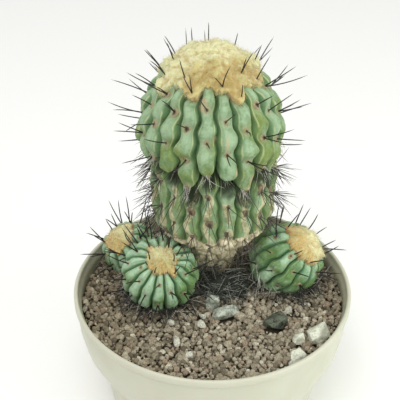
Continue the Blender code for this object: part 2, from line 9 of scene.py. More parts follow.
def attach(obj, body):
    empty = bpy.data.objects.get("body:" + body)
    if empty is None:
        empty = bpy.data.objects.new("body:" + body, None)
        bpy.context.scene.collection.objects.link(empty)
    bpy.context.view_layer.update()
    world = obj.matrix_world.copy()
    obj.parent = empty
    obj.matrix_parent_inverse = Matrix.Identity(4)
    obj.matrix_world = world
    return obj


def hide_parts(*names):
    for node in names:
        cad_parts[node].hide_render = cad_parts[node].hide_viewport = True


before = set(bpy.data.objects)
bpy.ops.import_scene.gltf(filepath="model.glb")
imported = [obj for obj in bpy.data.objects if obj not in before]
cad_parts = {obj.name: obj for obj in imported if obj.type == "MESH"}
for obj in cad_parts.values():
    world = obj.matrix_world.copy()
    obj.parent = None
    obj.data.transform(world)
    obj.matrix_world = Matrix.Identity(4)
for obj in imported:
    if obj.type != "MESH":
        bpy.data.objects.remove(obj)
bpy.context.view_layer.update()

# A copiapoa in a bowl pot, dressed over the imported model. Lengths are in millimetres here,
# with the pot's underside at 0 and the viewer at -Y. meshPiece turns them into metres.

tau = math.tau
soilLevel = 69.0


# Shader building

def tint(red, green, blue):
    # a colour as read on a screen, 0 to 255, as Blender's linear one
    linear = [c / 3294.6 if c <= 10 else ((c / 255 + 0.055) / 1.055) ** 2.4 for c in (red, green, blue)]
    return (*linear, 1.0)


class Wire:
    # a shader socket that can stand in a Python expression
    def __init__(self, paint, socket):
        self.paint = paint
        self.socket = socket

    def maths(self, operation, *others):
        return self.paint.node("ShaderNodeMath", dict(operation=operation), dict(enumerate(others)))

    def __add__(self, other):
        return self.maths("ADD", self, other)

    def __radd__(self, other):
        return self.maths("ADD", other, self)

    def __sub__(self, other):
        return self.maths("SUBTRACT", self, other)

    def __rsub__(self, other):
        return self.maths("SUBTRACT", other, self)

    def __mul__(self, other):
        return self.maths("MULTIPLY", self, other)

    def __rmul__(self, other):
        return self.maths("MULTIPLY", other, self)

    def step(self, low, high):
        # 0 at low, 1 at high, smooth between
        settings = dict(interpolation_type="SMOOTHSTEP", data_type="FLOAT")
        return self.paint.node("ShaderNodeMapRange", settings, {0: self, 1: low, 2: high, 3: 0.0, 4: 1.0})


class Paint:
    # one material. Its place is in millimetres
    def __init__(self, name, **values):
        self.material = bpy.data.materials.new(name)
        self.material.use_nodes = True
        self.tree = self.material.node_tree
        self.shader = self.tree.nodes["Principled BSDF"]
        spot = self.node("ShaderNodeTexCoord", out="Object")
        self.place = self.node("ShaderNodeVectorMath", dict(operation="SCALE"), {0: spot, "Scale": 1000.0})
        self.set(**values)

    def node(self, kind, settings=None, sockets=None, out=0):
        made = self.tree.nodes.new(kind)
        for key, value in (settings or {}).items():
            if key == "stops":
                ramp = made.color_ramp
                while len(ramp.elements) < len(value):
                    ramp.elements.new(0.5)
                for element, (position, colour) in zip(ramp.elements, value):
                    element.position = position
                    element.color = colour
            else:
                setattr(made, key, value)
        for key, value in (sockets or {}).items():
            self.plug(made.inputs[key], value)
        return Wire(self, made.outputs[out])

    def plug(self, socket, value):
        if isinstance(value, Wire):
            self.tree.links.new(value.socket, socket)
        else:
            socket.default_value = value

    def set(self, **values):
        for key, value in values.items():
            self.plug(self.shader.inputs[key.replace("_", " ")], value)

    def mix(self, share, first, second, blend="MIX"):
        settings = dict(data_type="RGBA", blend_type=blend)
        return self.node("ShaderNodeMix", settings, {0: share, 6: first, 7: second}, out=2)

    def shade(self, share, first, second):
        return self.mix(share, first, second, "MULTIPLY")

    def mottle(self, size, detail=3.0, warp=0.0):
        # soft noise about 0.5, with lumps of this size
        sockets = {"Vector": self.place, "Scale": 1 / size, "Detail": detail, "Distortion": warp}
        return self.node("ShaderNodeTexNoise", None, sockets)

    def cells(self, size):
        return self.node("ShaderNodeTexVoronoi", None, {"Vector": self.place, "Scale": 1 / size})

    def axis(self, number):
        # the place along X, Y or Z
        return self.node("ShaderNodeSeparateXYZ", None, {0: self.place}, out=number)

    def mark(self, name):
        # a value that the mesh carries
        return self.node("ShaderNodeAttribute", dict(attribute_name=name), out="Fac")

    def relief(self, height, depth):
        # depth in millimetres for a height of 1
        self.set(Normal=self.node("ShaderNodeBump", None, {"Height": height, "Distance": depth / 1000}))


# Meshes

def meshPiece(name, points, faces, paint, replaces, marks=None, smooth=True):
    # faces is a list of arrays, each with rows of as many corners
    faces = [np.asarray(block, np.int32) for block in faces]
    mesh = bpy.data.meshes.new(name)
    mesh.vertices.add(len(points))
    mesh.vertices.foreach_set("co", (np.asarray(points) / 1000).astype(np.float32).ravel())
    corners = np.concatenate([block.ravel() for block in faces])
    sides = np.concatenate([np.full(len(block), block.shape[1]) for block in faces])
    mesh.loops.add(len(corners))
    mesh.loops.foreach_set("vertex_index", corners)
    mesh.polygons.add(len(sides))
    mesh.polygons.foreach_set("loop_start", np.concatenate([[0], np.cumsum(sides)[:-1]]).astype(np.int32))
    mesh.update(calc_edges=True)
    mesh.validate()
    for mark, values in (marks or {}).items():
        layer = mesh.attributes.new(mark, "FLOAT", "POINT")
        layer.data.foreach_set("value", np.asarray(values, np.float32))
    if smooth:
        mesh.shade_smooth()
    return settle(name, mesh, paint, replaces)


def settle(name, mesh, paint, replaces):
    # a mesh becomes a piece of the model
    mesh.materials.append(paint.material)
    piece = bpy.data.objects.new(name, mesh)
    bpy.context.scene.collection.objects.link(piece)
    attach(piece, "root")
    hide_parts(*replaces)
    return piece


def smoothStep(low, high, value):
    t = np.clip((np.asarray(value, float) - low) / (high - low), 0, 1)
    return t * t * (3 - 2 * t)


def lumps(points, size, seed):
    # soft noise between about -1 and 1 at each point
    shift = Vector((seed * 7.3, seed * 3.1, seed * 5.7))
    return np.array([noise.noise(Vector(p) / size + shift) for p in points])


def crackle(points, size, seed):
    # distances to the two nearest of scattered points, about 0 to 1
    shift = Vector((seed * 2.7, seed * 6.1, seed * 1.9))
    return np.array([noise.voronoi(Vector(p) / size + shift)[0][:2] for p in points]).T


def flatSpots(spots):
    return np.column_stack([spots, np.zeros(len(spots))])


def gridFaces(rings, around, first=0):
    # quads between rings of points that close on themselves
    ring, step = np.meshgrid(np.arange(rings - 1), np.arange(around), indexing="ij")
    a = first + ring * around + step
    b = first + ring * around + (step + 1) % around
    return np.stack([a, b, b + around, a + around], -1).reshape(-1, 4)


def fan(ringStart, around, tip):
    step = np.arange(around)
    return np.stack([ringStart + step, ringStart + (step + 1) % around, np.full(around, tip)], -1)


def circle(radius, height, around):
    angle = np.arange(around) * tau / around
    return np.stack([radius * np.cos(angle), radius * np.sin(angle), np.full(around, height)], -1)


def ball(detail):
    bm = bmesh.new()
    bmesh.ops.create_icosphere(bm, subdivisions=detail, radius=1)
    points = np.array([v.co for v in bm.verts])
    faces = np.array([[v.index for v in f.verts] for f in bm.faces])
    bm.free()
    return points, faces


def unit(vectors):
    return vectors / np.maximum(np.linalg.norm(vectors, axis=-1, keepdims=True), 1e-9)


def curvedPaths(roots, ways, sizes, bend, steps, draw):
    # bent lines, (count, steps, 3), that start a little below their roots
    sink = 1.0
    t = np.linspace(0, 1, steps)[None, :, None]
    side = unit(np.cross(ways, draw.normal(size=ways.shape)))
    straight = roots[:, None] + ways[:, None] * (-sink + (sizes[:, None, None] + sink) * t)
    return straight + side[:, None] * (sizes * bend)[:, None, None] * t**2


def thinning(loss, steps):
    # shares of the thickness along a strand whose tip has lost this much
    return 1 - loss * np.linspace(0, 1, steps)


def strands(paths, radii, sides):
    # closed tubes. radii is (count, steps), or (1, steps) for all. The last value is 0 at a root, 1 at a tip
    count, steps, _ = paths.shape
    along = unit(np.gradient(paths, axis=1))
    helper = np.where(np.abs(along[:, :1, 2:]) > 0.8, [[[1.0, 0, 0]]], [[[0, 0, 1.0]]])
    side = unit(np.cross(along, helper))
    other = np.cross(along, side)
    turn = np.arange(sides) * tau / sides
    ring = side[:, :, None] * np.cos(turn)[:, None] + other[:, :, None] * np.sin(turn)[:, None]
    points = paths[:, :-1, None] + ring[:, :-1] * radii[:, :-1, None, None]
    each = (steps - 1) * sides + 1
    points = np.concatenate([points.reshape(count, -1, 3), paths[:, -1:]], 1)
    quads = gridFaces(steps - 1, sides)
    tips = fan((steps - 2) * sides, sides, each - 1)
    shift = (np.arange(count) * each)[:, None, None]
    base = np.arange(sides)[::-1][None]
    faces = [(quads + shift).reshape(-1, 4), (tips + shift).reshape(-1, 3), base + shift[:, 0]]
    share = np.append(np.repeat(np.arange(steps - 1) / (steps - 1), sides), 1.0)
    return points.reshape(-1, 3), faces, np.tile(share, count)


def joined(parts):
    # several (points, faces, marks) as one
    points, faces, marks, first = [], [], [], 0
    for partPoints, partFaces, partMarks in parts:
        points.append(partPoints)
        faces += [np.asarray(block) + first for block in partFaces]
        marks.append(partMarks)
        first += len(partPoints)
    return np.concatenate(points), faces, np.concatenate(marks)


# Cactus bodies

ribHabits = dict(
    sway=(4.3, 8.9),  # how fast a groove strays from its line, in a slow and a quick wave
    chinSpread=2.2, chinPoint=4.0, chinLift=1.2,  # how unevenly the ribs end over the waist, and how pointed
    chinFull=(-8, -1.5), chinEnd=(-1, 2), chinPush=0.4, chinSag=2.2,
    waistFrom=(-2, 1), waistTo=(5, 13),  # below the ribs' ends
    notch=(22, 38), straight=(8, 34), straightness=0.7,  # above the waist
    calmSwell=0.2, calmGroove=0.25,  # what the old column keeps of its swelling and loses of its grooves
    humpBelow=0.13, humpReach=0.17,  # the shoulder beside the wool, in shares of the widest radius
)


def smoothLine(knots, steps=16):
    # through all the knots, and level where it meets the axis
    ends = [np.array(k, float) for k in [knots[0], *knots, (-knots[-2][0], knots[-2][1])]]
    t = np.linspace(0, 1, steps, endpoint=False)[:, None]
    parts = []
    for a, b, c, d in zip(ends, ends[1:], ends[2:], ends[3:]):
        bend = (2 * a - 5 * b + 4 * c - d) * t**2 + (3 * b - a - 3 * c + d) * t**3
        parts.append(b + 0.5 * ((c - a) * t + bend))
    return np.vstack([*parts, ends[-2]])


class Body:
    # a ribbed body round its own Z axis. Places on it are (length from the foot, rib, share across the rib)
    def __init__(self, form):
        self.form = form
        self.ribs, self.pitch, self.waist, self.seed = [form[key] for key in ("ribs", "pitch", "waist", "seed")]
        line = smoothLine(form["profile"])
        self.lengths = np.concatenate([[0], np.cumsum(np.linalg.norm(np.diff(line, axis=0), axis=1))])
        self.radii, self.heights = line.T
        slope = unit(np.gradient(line, self.lengths, axis=0))
        self.outs, self.ups = slope[:, 1], -slope[:, 0]
        self.end = self.lengths[-1]
        self.widest = self.radii.max()
        self.widestLength = self.lengths[self.radii.argmax()]
        self.woolEdge = self.lengths[np.nonzero(self.radii[:-1] >= form["woolRadius"])[0].max() + 1]
        self.matrix = np.array(form["matrix"])

    def at(self, length):
        return [np.interp(length, self.lengths, v) for v in (self.radii, self.heights, self.outs, self.ups)]

    def world(self, points):
        lean, low, high = self.form["lean"]
        moved = points + smoothStep(low, high, points[..., 2:]) * [lean, 0, 0]
        return moved @ self.matrix[:3, :3].T + self.matrix[:3, 3]

    def turned(self, vectors):
        return vectors @ self.matrix[:3, :3].T

    def areoleNear(self, length, rib):
        offset = self.form["first"] - self.form["shift"] * (rib % self.ribs)
        return (np.round(length / self.pitch - offset) + offset) * self.pitch

    def phase(self, length, rib):
        # 0 at an areole, -0.5 to 0.5 in pitches, rising towards the tip
        return (length - self.areoleNear(length, rib)) / self.pitch

    def offAreole(self, length, rib, across, radius):
        # how far away the nearest areole of the rib is
        return np.hypot(self.phase(length, rib) * self.pitch, (across - 0.5) * tau * radius / self.ribs)

    def ribShare(self, length):
        # 1 where there are ribs, 0 at the foot and under the wool
        start = self.form["smooth"]
        low = smoothStep(start, start + 0.8 * self.pitch, length)
        return low * (1 - smoothStep(self.woolEdge, self.woolEdge + 0.5 * self.pitch, length))

    def fullness(self, length, rib, above):
        # 1 where a rib swells most, above an areole by this share of the pitch
        return np.cos(tau * (self.phase(length, rib) - above))

    def stray(self, length, groove):
        # how far a groove wanders off its line, in shares of a rib
        turn = self.seed + 1.7 * (groove % self.ribs) ** 2
        slow, quick = ribHabits["sway"]
        wave = np.sin(length / self.pitch * slow + turn) + np.sin(length / self.pitch * quick + 2.3 * turn)
        return self.form["uneven"] * wave

    def habit(self, number):
        # each rib and each groove has its own strength of swelling
        return 1 + self.form["moody"] * np.sin(1.9 * (number % self.ribs) ** 2 + self.seed)

    def belowChin(self, length, rib, edge):
        # how far a place is below the ribs' ends over the waist, which hang unevenly and in a point
        chin = self.areoleNear(np.full_like(length, self.waist), rib)
        uneven = ribHabits["chinSpread"] * np.sin(2.9 * (rib % self.ribs) ** 2 + 1)
        return chin - length + uneven + ribHabits["chinPoint"] * edge**1.5 - ribHabits["chinLift"]

    def waistShape(self, length, rib, edge):
        # the depth of the waist, and 1 on the ribs' ends over it
        habits = ribHabits
        below = self.belowChin(length, rib, edge)
        pinch = smoothStep(*habits["waistFrom"], below) - smoothStep(*habits["waistTo"], below)
        chin = smoothStep(*habits["chinFull"], below) * (1 - smoothStep(*habits["chinEnd"], below))
        return self.form["pinch"] * pinch, chin * (1 + 0.5 * np.sin(2.6 * rib))

    def surface(self, length, rib, across):
        form, habits = self.form, ribHabits
        length, rib, across = np.broadcast_arrays(np.asarray(length, float), rib, across)
        edge = np.abs(2 * across - 1)
        radius, height, out, up = self.at(length)
        share = self.ribShare(length)
        wideAt, lively, loose, shallow, pinch, chin = form["wide"], 1.0, 1.0, 0.0, 0.0, 0.0
        if self.waist:
            # young areoles sit on the widest spot, old ones in a notch. Ribs are straighter at the wool
            notchLow, notchHigh, straightLow, straightHigh = [
                self.waist + above for above in (*habits["notch"], *habits["straight"])]
            wideAt = wideAt * (1 - smoothStep(notchLow, notchHigh, length))
            loose = 1 - habits["straightness"] * smoothStep(straightLow, straightHigh, length)
            young = smoothStep(*form["calm"], length)
            lively = young * (1 - habits["calmSwell"]) + habits["calmSwell"]
            shallow = habits["calmGroove"] * (1 - young)
            pinch, chin = self.waistShape(length, rib, edge)

        # grooves bend away from each swelling
        wide, wideLeft, wideRight = [self.fullness(length, rib + k, wideAt) for k in (0, -1, 1)]
        lean = form["wander"] * share * lively / 2 * loose
        left = -(wide - wideLeft) * lean * self.habit(rib) + share * self.stray(length, rib)
        right = (wide - wideRight) * lean * self.habit(rib + 1) + share * self.stray(length, rib + 1)
        angle = tau * (rib + left + across * (1 + right - left)) / self.ribs

        flank = np.clip((edge - form["crest"]) / (1 - form["crest"]), 0, 1)
        hollow = (1 - form["dome"]) * flank**1.25 + form["dome"] * edge**2.8
        cut = form["groove"] * (1 - shallow) * share * np.minimum(radius / self.widest, 1) * hollow
        above = self.phase(length, rib) % 1
        own = smoothStep(0, form["chinRise"], above) - smoothStep(form["chinRise"] + 0.05, 1.0, above)
        swell = form["rise"] * (0.5 + 0.5 * self.habit(rib)) * share * lively * (own - 0.35) * (1 - edge**5)
        hump = (length - self.woolEdge + habits["humpBelow"] * self.widest) / (habits["humpReach"] * self.widest)
        swell = swell + form["hump"] * share * np.exp(-(hump**2)) * (1 - edge**2)
        near = self.offAreole(length, rib, across, radius)
        dent = form["dent"] * share * np.exp(-((near / form["padSize"]) ** 2))
        push = swell - cut - pinch - dent + habits["chinPush"] * chin * (1 - edge)
        radius = radius + out * push
        height = height + up * push - habits["chinSag"] * chin * (1 - edge**2)
        return np.stack([radius * np.cos(angle), radius * np.sin(angle), height], -1)

    def normal(self, length, rib):
        _, _, out, up = self.at(length)
        angle = tau * (np.asarray(rib) + 0.5) / self.ribs
        return np.stack([out * np.cos(angle), out * np.sin(angle), up], -1)

    def areoles(self, low, high):
        found = []
        for rib in range(self.ribs):
            length = self.areoleNear(low, rib)
            while length < high:
                if length > low:
                    found.append((length, rib))
                length += self.pitch
        return found

    def radiusAtHeight(self, height):
        # the widest radius at these heights, 0 past the ends
        found = np.zeros_like(height)
        for a, b, low, high in zip(self.radii, self.radii[1:], self.heights, self.heights[1:]):
            inside = (height >= min(low, high)) & (height <= max(low, high))
            found = np.where(inside, np.maximum(found, max(a, b)), found)
        return found

    def inside(self, points, margin):
        local = (points - self.matrix[:3, 3]) @ self.matrix[:3, :3]
        reach = self.radiusAtHeight(local[..., 2])
        return (reach > 0) & (np.hypot(local[..., 0], local[..., 1]) < reach + margin)


def headMatrix(middle, grows):
    return Matrix.Translation(middle) @ Vector(grows).to_track_quat("Z", "Y").to_matrix().to_4x4()


stemForm = dict(
    # (radius, height) from the foot to the tip
    profile=[(12, 58), (11.5, 70), (12.0, 80), (16.5, 89), (23.0, 98), (30.0, 105), (32.8, 113), (33.2, 126),
             (33.6, 138), (34.6, 147), (36.4, 154), (37.3, 160), (36.6, 167), (33.4, 177), (27.6, 186.5),
             (19.6, 194), (10, 199), (0, 200.6)],
    matrix=Matrix.Translation((0.5, 26, 0)), lean=(-1.4, 130, 160), seed=0, across=16, ringStep=1.0,
    # ribs and grooves
    ribs=21, groove=4.9, crest=0.6, dome=0.25, uneven=0.055, wander=0.072, moody=0.6, rough=1.0, smooth=44.0,
    # areoles and the swellings between them
    pitch=16.6, shift=8 / 21, first=0.955, rise=2.1, chinRise=0.38, hump=0.5, wide=0.38, dent=0.9, padSize=2.9,
    # the waist between the old column and the young barrel
    waist=98, pinch=7.8, calm=(88, 104),
    sunnySide=350, sunAndShade=0.0,
    # (angle, length, half width, half height)
    scars=[(272.6, 122.3, 1.5, 1.9), (261, 139, 2.4, 4.2), (281, 119, 0.8, 6.0), (296, 142, 2.6, 2.4),
           (304, 97, 2.2, 3.0), (289, 104, 1.6, 2.6)],
    woolRadius=23.4, woolThick=(1.4, 4.6), lobe=0.3, puffy=0.55, goldWay=(0.45, -1.0), goldFrom=(0.1, 0.95),
    # where the wool hangs lower, as (angle, drop, half width)
    droops=[(203, 8.0, 11), (245, 2.6, 10), (267, -2.4, 10), (295, 2.6, 9), (341, 3.0, 12), (75, 5.0, 12),
            (130, 3.0, 9)],
)
headShape = [(0.38, -1.22), (0.42, -0.98), (0.70, -0.72), (0.93, -0.36), (1.00, 0.04), (0.93, 0.40),
             (0.71, 0.67), (0.42, 0.79), (0.18, 0.82), (0, 0.82)]
headPlaces = dict(
    head_front=dict(middle=(-28.2, 0.6, 84), radius=20.4, grows=(0.08, -0.47, 0.88), ribs=16, wool=8.0,
                    puff=2.4, goldWay=(0.1, -1.0), sunAndShade=0.0),
    # head_right's extra tone makes it yellower, and darker as painted shade
    head_right=dict(middle=(41, 16, 82.5), radius=20.2, grows=(0.59, -0.24, 0.775), ribs=14, wool=11.5,
                    puff=4.2, goldWay=(-0.9, -0.4), sunAndShade=0.45),
    head_back=dict(middle=(-46.5, 32, 77), radius=15.4, grows=(-0.43, -0.30, 0.85), ribs=13, wool=8.6,
                   puff=3.2, goldWay=(-0.7, -0.6), sunAndShade=0.0),
)


def headForm(facts, seed):
    r = facts["radius"]
    return dict(
        profile=[(x * r, z * r) for x, z in headShape], matrix=headMatrix(facts["middle"], facts["grows"]),
        lean=(0, 0, 1), seed=seed, across=16, ringStep=0.6,
        ribs=facts["ribs"], groove=0.19 * r, crest=0.62, dome=0.35, uneven=0.012, wander=0.05, moody=0.4,
        rough=0.7, smooth=0.5 * r,
        pitch=0.66 * r, shift=3 / 8, first=0.6, rise=0.05 * r, chinRise=0.35, hump=0.07 * r, wide=0.2, dent=0.3,
        padSize=1.6, waist=None, sunnySide=330, sunAndShade=facts["sunAndShade"], scars=[],
        woolRadius=facts["wool"], woolThick=(0.9, facts["puff"]), lobe=0.28, puffy=0.4,
        goldWay=facts["goldWay"], goldFrom=(-0.3, 0.95), droops=[],
    )


bodies = {"stem": Body(stemForm)}
for number, (headName, facts) in enumerate(headPlaces.items(), 1):
    bodies[headName] = Body(headForm(facts, number))


# Pot

potLook = dict(
    around=144, step=3.0, lip=1.15, rim=(75, 78),
    # (radius, height) from the lip down to the foot, across the underside, and down the inside
    outside=[(75, 74.6), (74.75, 73.9), (74, 73.4), (73.75, 71), (73, 60), (71, 50), (67.4, 42), (62.8, 33.4),
             (62.2, 31.8), (61.4, 28), (57.2, 2.2), (55.8, 0)],
    under=[(49, 0), (48, 1.2), (23, 1.2), (22, 0), (0, 0)],
    inside=[(72.7, 75.8), (71.3, 73), (70.7, 60), (68.7, 50), (65.1, 42), (60.3, 33), (54.7, 4), (0, 4)],
    plastic=tint(195, 195, 176), dust=tint(146, 142, 118), stain=tint(184, 184, 162), dustTop=80,
)


def potPaint():
    look = potLook
    paint = Paint("creamPlastic", IOR=1.48, Subsurface_Weight=0.06, Subsurface_Scale=0.004)
    inside = paint.mark("inside")
    dusty = inside * (look["dustTop"] - paint.axis(2) + 6 * paint.mottle(4.0)).step(0.0, 12.0)
    cloud = paint.mottle(22.0, 4.0).step(0.35, 0.7)
    clean = paint.mix(cloud * 0.35, look["plastic"], look["stain"])
    specks = paint.mottle(1.1, 2.0).step(0.68, 0.76) * 0.35
    paint.set(Base_Color=paint.mix(dusty * 0.8 + specks * inside, clean, look["dust"]))
    paint.set(Roughness=0.36 + 0.16 * cloud + 0.3 * dusty)
    paint.relief(paint.mottle(0.9, 4.0), 0.02)
    return paint


def makePot():
    look = potLook
    (rim, top), lip, around = look["rim"], look["lip"], look["around"]
    turn = np.linspace(0, math.pi, 9)
    bend = [(rim - lip + lip * math.cos(a), top - lip + lip * math.sin(a)) for a in turn]
    below = [*reversed(look["under"]), *reversed(look["outside"])]
    outline = np.array([*below, *bend, *look["inside"]])
    length = np.concatenate([[0], np.cumsum(np.linalg.norm(np.diff(outline, axis=0), axis=1))])
    fine = np.unique(np.concatenate([length, np.arange(0, length[-1], look["step"])]))
    radii, heights = np.interp(fine, length, outline[:, 0]), np.interp(fine, length, outline[:, 1])
    points = np.concatenate([circle(r, z, around) for r, z in zip(radii, heights)])
    inside = np.repeat(fine > length[len(below) + len(bend) // 2 + 1], around)
    walls = gridFaces(len(fine), around)[around:-around]
    first = fan(around, around, 0)[:, ::-1]
    last = fan((len(fine) - 2) * around, around, (len(fine) - 1) * around)
    piece = meshPiece("bowlPot", points, [walls, first, last], potPaint(), ["pot"],
                      {"inside": inside})
    piece.data.set_sharp_from_angle(angle=math.radians(50))
    print("pot turned")


makePot()


# Grit

gritLook = dict(
    seed=11, reach=70.3, kinds=14, cuts=9, cutDepth=(0.52, 0.86), stretch=(0.78, 1.22),
    hillSize=16.0, hillHeight=0.7,
    # the grains on top
    spacing=3.0, jitter=0.26, grain=(1.25, 2.4), sink=0.55, rise=(-0.5, 0.6), clear=2.6, sharp=28,
    # small grains between them, and a layer under them
    fines=dict(spacing=2.1, jitter=0.5, past=0.4, low=0, margin=-0.4, sink=0.5, rise=(-0.7, 0.9),
               grain=(0.45, 0.95), tones=0.95, hilly=1),
    under=dict(spacing=4.0, jitter=0.3, past=0.5, low=2, margin=-1.5, sink=2.7, rise=(-0.5, 0.5),
               grain=(1.5, 2.1), tones=0.9, hilly=0),
    bed=dict(around=72, top=71, foot=58, sink=4, height=36.0),
    # single pale crumbs as (x, y, size, tone)
    crumbs=[(-5.4, -17.8, 2.0, 1), (-5.8, -24.6, 2.5, 1), (41.3, -13.7, 2.6, 1), (39.8, -53.4, 3.0, 1),
            (-22.0, -23.5, 2.2, 1), (-18.5, -38.0, 2.4, 1), (-12.2, -47.0, 2.5, 1), (14.6, -18.6, 3.4, 0.45)],
    dark=tint(106, 98, 82), brown=tint(156, 147, 125), taupe=tint(184, 174, 152), red=tint(166, 146, 124),
    pale=tint(214, 208, 186), white=tint(214, 214, 198), shadow=tint(100, 92, 74), speck=tint(120, 110, 98),
)
stoneNames = [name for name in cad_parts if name.startswith("stone_")]


def footprint(node):
    # middle, long and short way, and half sizes of a stone seen from above
    spots = np.array([v.co[:2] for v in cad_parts[node].data.vertices]) * 1000
    middle = (spots.max(0) + spots.min(0)) / 2
    _, ways = np.linalg.eigh(np.cov((spots - middle).T))
    return middle, ways, np.abs((spots - middle) @ ways).max(0)


stonePrints = [footprint(name) for name in stoneNames]


def gritPaint():
    look = gritLook
    paint = Paint("pumiceGrit", Roughness=0.95, Specular_IOR_Level=0.25)
    stops = [(0.0, "dark"), (0.2, "brown"), (0.45, "taupe"), (0.6, "brown"), (0.74, "red"), (0.82, "taupe"),
             (0.93, "pale"), (1.0, "white")]
    stops = [(position, look[colour]) for position, colour in stops]
    base = paint.node("ShaderNodeValToRGB", dict(stops=stops), {0: paint.mark("tone")})
    spotted = paint.shade(paint.mottle(0.7, 3.0).step(0.42, 0.62) * 0.45, base, look["speck"])
    leftShade = (20 * paint.mottle(15.0) - paint.axis(0)).step(20, 70) * 0.4  # painted shade, darker towards the left
    spotted = paint.shade(leftShade, spotted, look["taupe"])
    # painted shade low on the grains, in the gaps between them, and on the bed below
    paint.set(Base_Color=paint.mix(paint.mark("buried") * 0.9, spotted, look["shadow"]))
    paint.relief(paint.mottle(0.55, 4.0) + 0.6 * paint.cells(0.8), 0.28)
    return paint


def grainKinds(count, draw, detail):
    # a few broken pebbles, cut flat here and there
    sphere, faces = ball(detail)
    kinds = []
    for kind in range(count):
        shape = sphere.copy()
        for _ in range(gritLook["cuts"]):
            way = unit(draw.normal(size=3))
            beyond = shape @ way - draw.uniform(*gritLook["cutDepth"])
            shape -= np.maximum(beyond, 0)[:, None] * way
        shape *= 1 + 0.1 * lumps(sphere, 0.7, kind)[:, None]
        kinds.append(shape)
    return kinds, faces


def randomTurns(count, draw):
    w, x, y, z = unit(draw.normal(size=(count, 4))).T
    return np.stack([1 - 2 * (y * y + z * z), 2 * (x * y - z * w), 2 * (x * z + y * w),
                     2 * (x * y + z * w), 1 - 2 * (x * x + z * z), 2 * (y * z - x * w),
                     2 * (x * z - y * w), 2 * (y * z + x * w), 1 - 2 * (x * x + y * y)], -1).reshape(-1, 3, 3)


def hexSpots(spacing, reach, jitter, draw):
    line = spacing * math.sqrt(3) / 2
    rows = int(reach / line) + 1
    spots = [((col + 0.5 * (row % 2)) * spacing, row * line)
             for row in range(-rows, rows + 1) for col in range(-rows, rows + 1)]
    spots = np.array(spots) + draw.uniform(-jitter, jitter, (len(spots), 2)) * spacing
    return spots[np.hypot(*spots.T) < reach]


def freeOfPlants(spots, height, margin):
    at = np.column_stack([spots, np.full(len(spots), height)])
    taken = np.zeros(len(spots), bool)
    for body in bodies.values():
        taken |= body.inside(at, margin)
    for middle, ways, half in stonePrints:
        taken |= np.hypot(*((spots - middle) @ ways / (half * 0.85)).T) < 1
    return spots[~taken]


def hills(spots):
    return lumps(flatSpots(spots), gritLook["hillSize"], 3) * gritLook["hillHeight"]


def grains(spots, heights, sizes, tones, detail, draw):
    kinds, faces = grainKinds(gritLook["kinds"], draw, detail)
    which = draw.integers(0, len(kinds), len(spots))
    turns = randomTurns(len(spots), draw)
    stretch = draw.uniform(*gritLook["stretch"], (len(spots), 3)) * sizes[:, None]
    shapes = np.array(kinds)[which] * stretch[:, None]
    shapes = np.einsum("nvi,nji->nvj", shapes, turns)
    centre = np.column_stack([spots, heights])
    points = (shapes + centre[:, None]).reshape(-1, 3)
    each = len(kinds[0])
    faces = (faces[None] + (np.arange(len(spots)) * each)[:, None, None]).reshape(-1, 3)
    # 1 where a grain's points lie low among the others, for the painted shade there
    buried = 1 - smoothStep(-2.2, 0.2, points[:, 2] - soilLevel)
    return points, faces, {"tone": np.repeat(tones, each), "buried": buried}


def topGrains(draw):
    look = gritLook
    spots = freeOfPlants(hexSpots(look["spacing"], look["reach"], look["jitter"], draw), soilLevel, -0.6)
    crumbs = np.array(look["crumbs"])
    spots = spots[np.linalg.norm(spots[:, None] - crumbs[None, :, :2], axis=2).min(1) > look["clear"]]
    count, (low, high) = len(spots), look["grain"]
    sizes = low + (high - low) * draw.beta(1.6, 2.2, count)
    heights = soilLevel - look["sink"] + hills(spots) + draw.uniform(*look["rise"], count)
    tones = draw.uniform(0, 0.95, count)
    spots = np.vstack([spots, crumbs[:, :2]])
    heights = np.append(heights, np.full(len(crumbs), soilLevel + 0.8))
    sizes, tones = np.append(sizes, crumbs[:, 2]), np.append(tones, crumbs[:, 3])
    return grains(spots, heights, sizes, tones, 2, draw)


def layerGrains(layer, draw):
    spots = hexSpots(layer["spacing"], gritLook["reach"] + layer["past"], layer["jitter"], draw)
    spots = freeOfPlants(spots, soilLevel - layer["low"], layer["margin"])
    count = len(spots)
    heights = soilLevel - layer["sink"] + hills(spots) * layer["hilly"] + draw.uniform(*layer["rise"], count)
    sizes, tones = draw.uniform(*layer["grain"], count), draw.uniform(0, layer["tones"], count)
    return grains(spots, heights, sizes, tones, 1, draw)


def makeGrit():
    draw = np.random.default_rng(gritLook["seed"])
    paint = gritPaint()
    points, faces, marks = topGrains(draw)
    piece = meshPiece("gritTop", points, [faces], paint, ["soil"], marks)
    piece.data.set_sharp_from_angle(angle=math.radians(gritLook["sharp"]))
    print("grit strewn:", len(faces), "faces on top")

    points, faces, marks = layerGrains(gritLook["fines"], draw)
    meshPiece("gritFines", points, [faces], paint, ["soil"], marks, smooth=False)

    points, faces, marks = layerGrains(gritLook["under"], draw)
    bed = gritLook["bed"]
    around, top, foot = bed["around"], soilLevel - bed["sink"], bed["height"]
    body = np.vstack([[0, 0, top], circle(bed["top"], top, around), circle(bed["foot"], foot, around),
                      [0, 0, foot]])
    sides = [fan(1, around, 0), gridFaces(2, around, 1)[:, ::-1],
             fan(1 + around, around, 2 * around + 1)[:, ::-1]]
    faces = [faces, *[block + len(points) for block in sides]]
    # the bed under the grains is all painted shade
    marks = dict(tone=np.append(marks["tone"], np.full(len(body), 0.5)),
                 buried=np.append(marks["buried"], np.ones(len(body))))
    meshPiece("gritUnder", np.vstack([points, body]), faces, paint, ["soil"], marks)
    print("grit filled in")


makeGrit()


# Skin of the stem and the heads

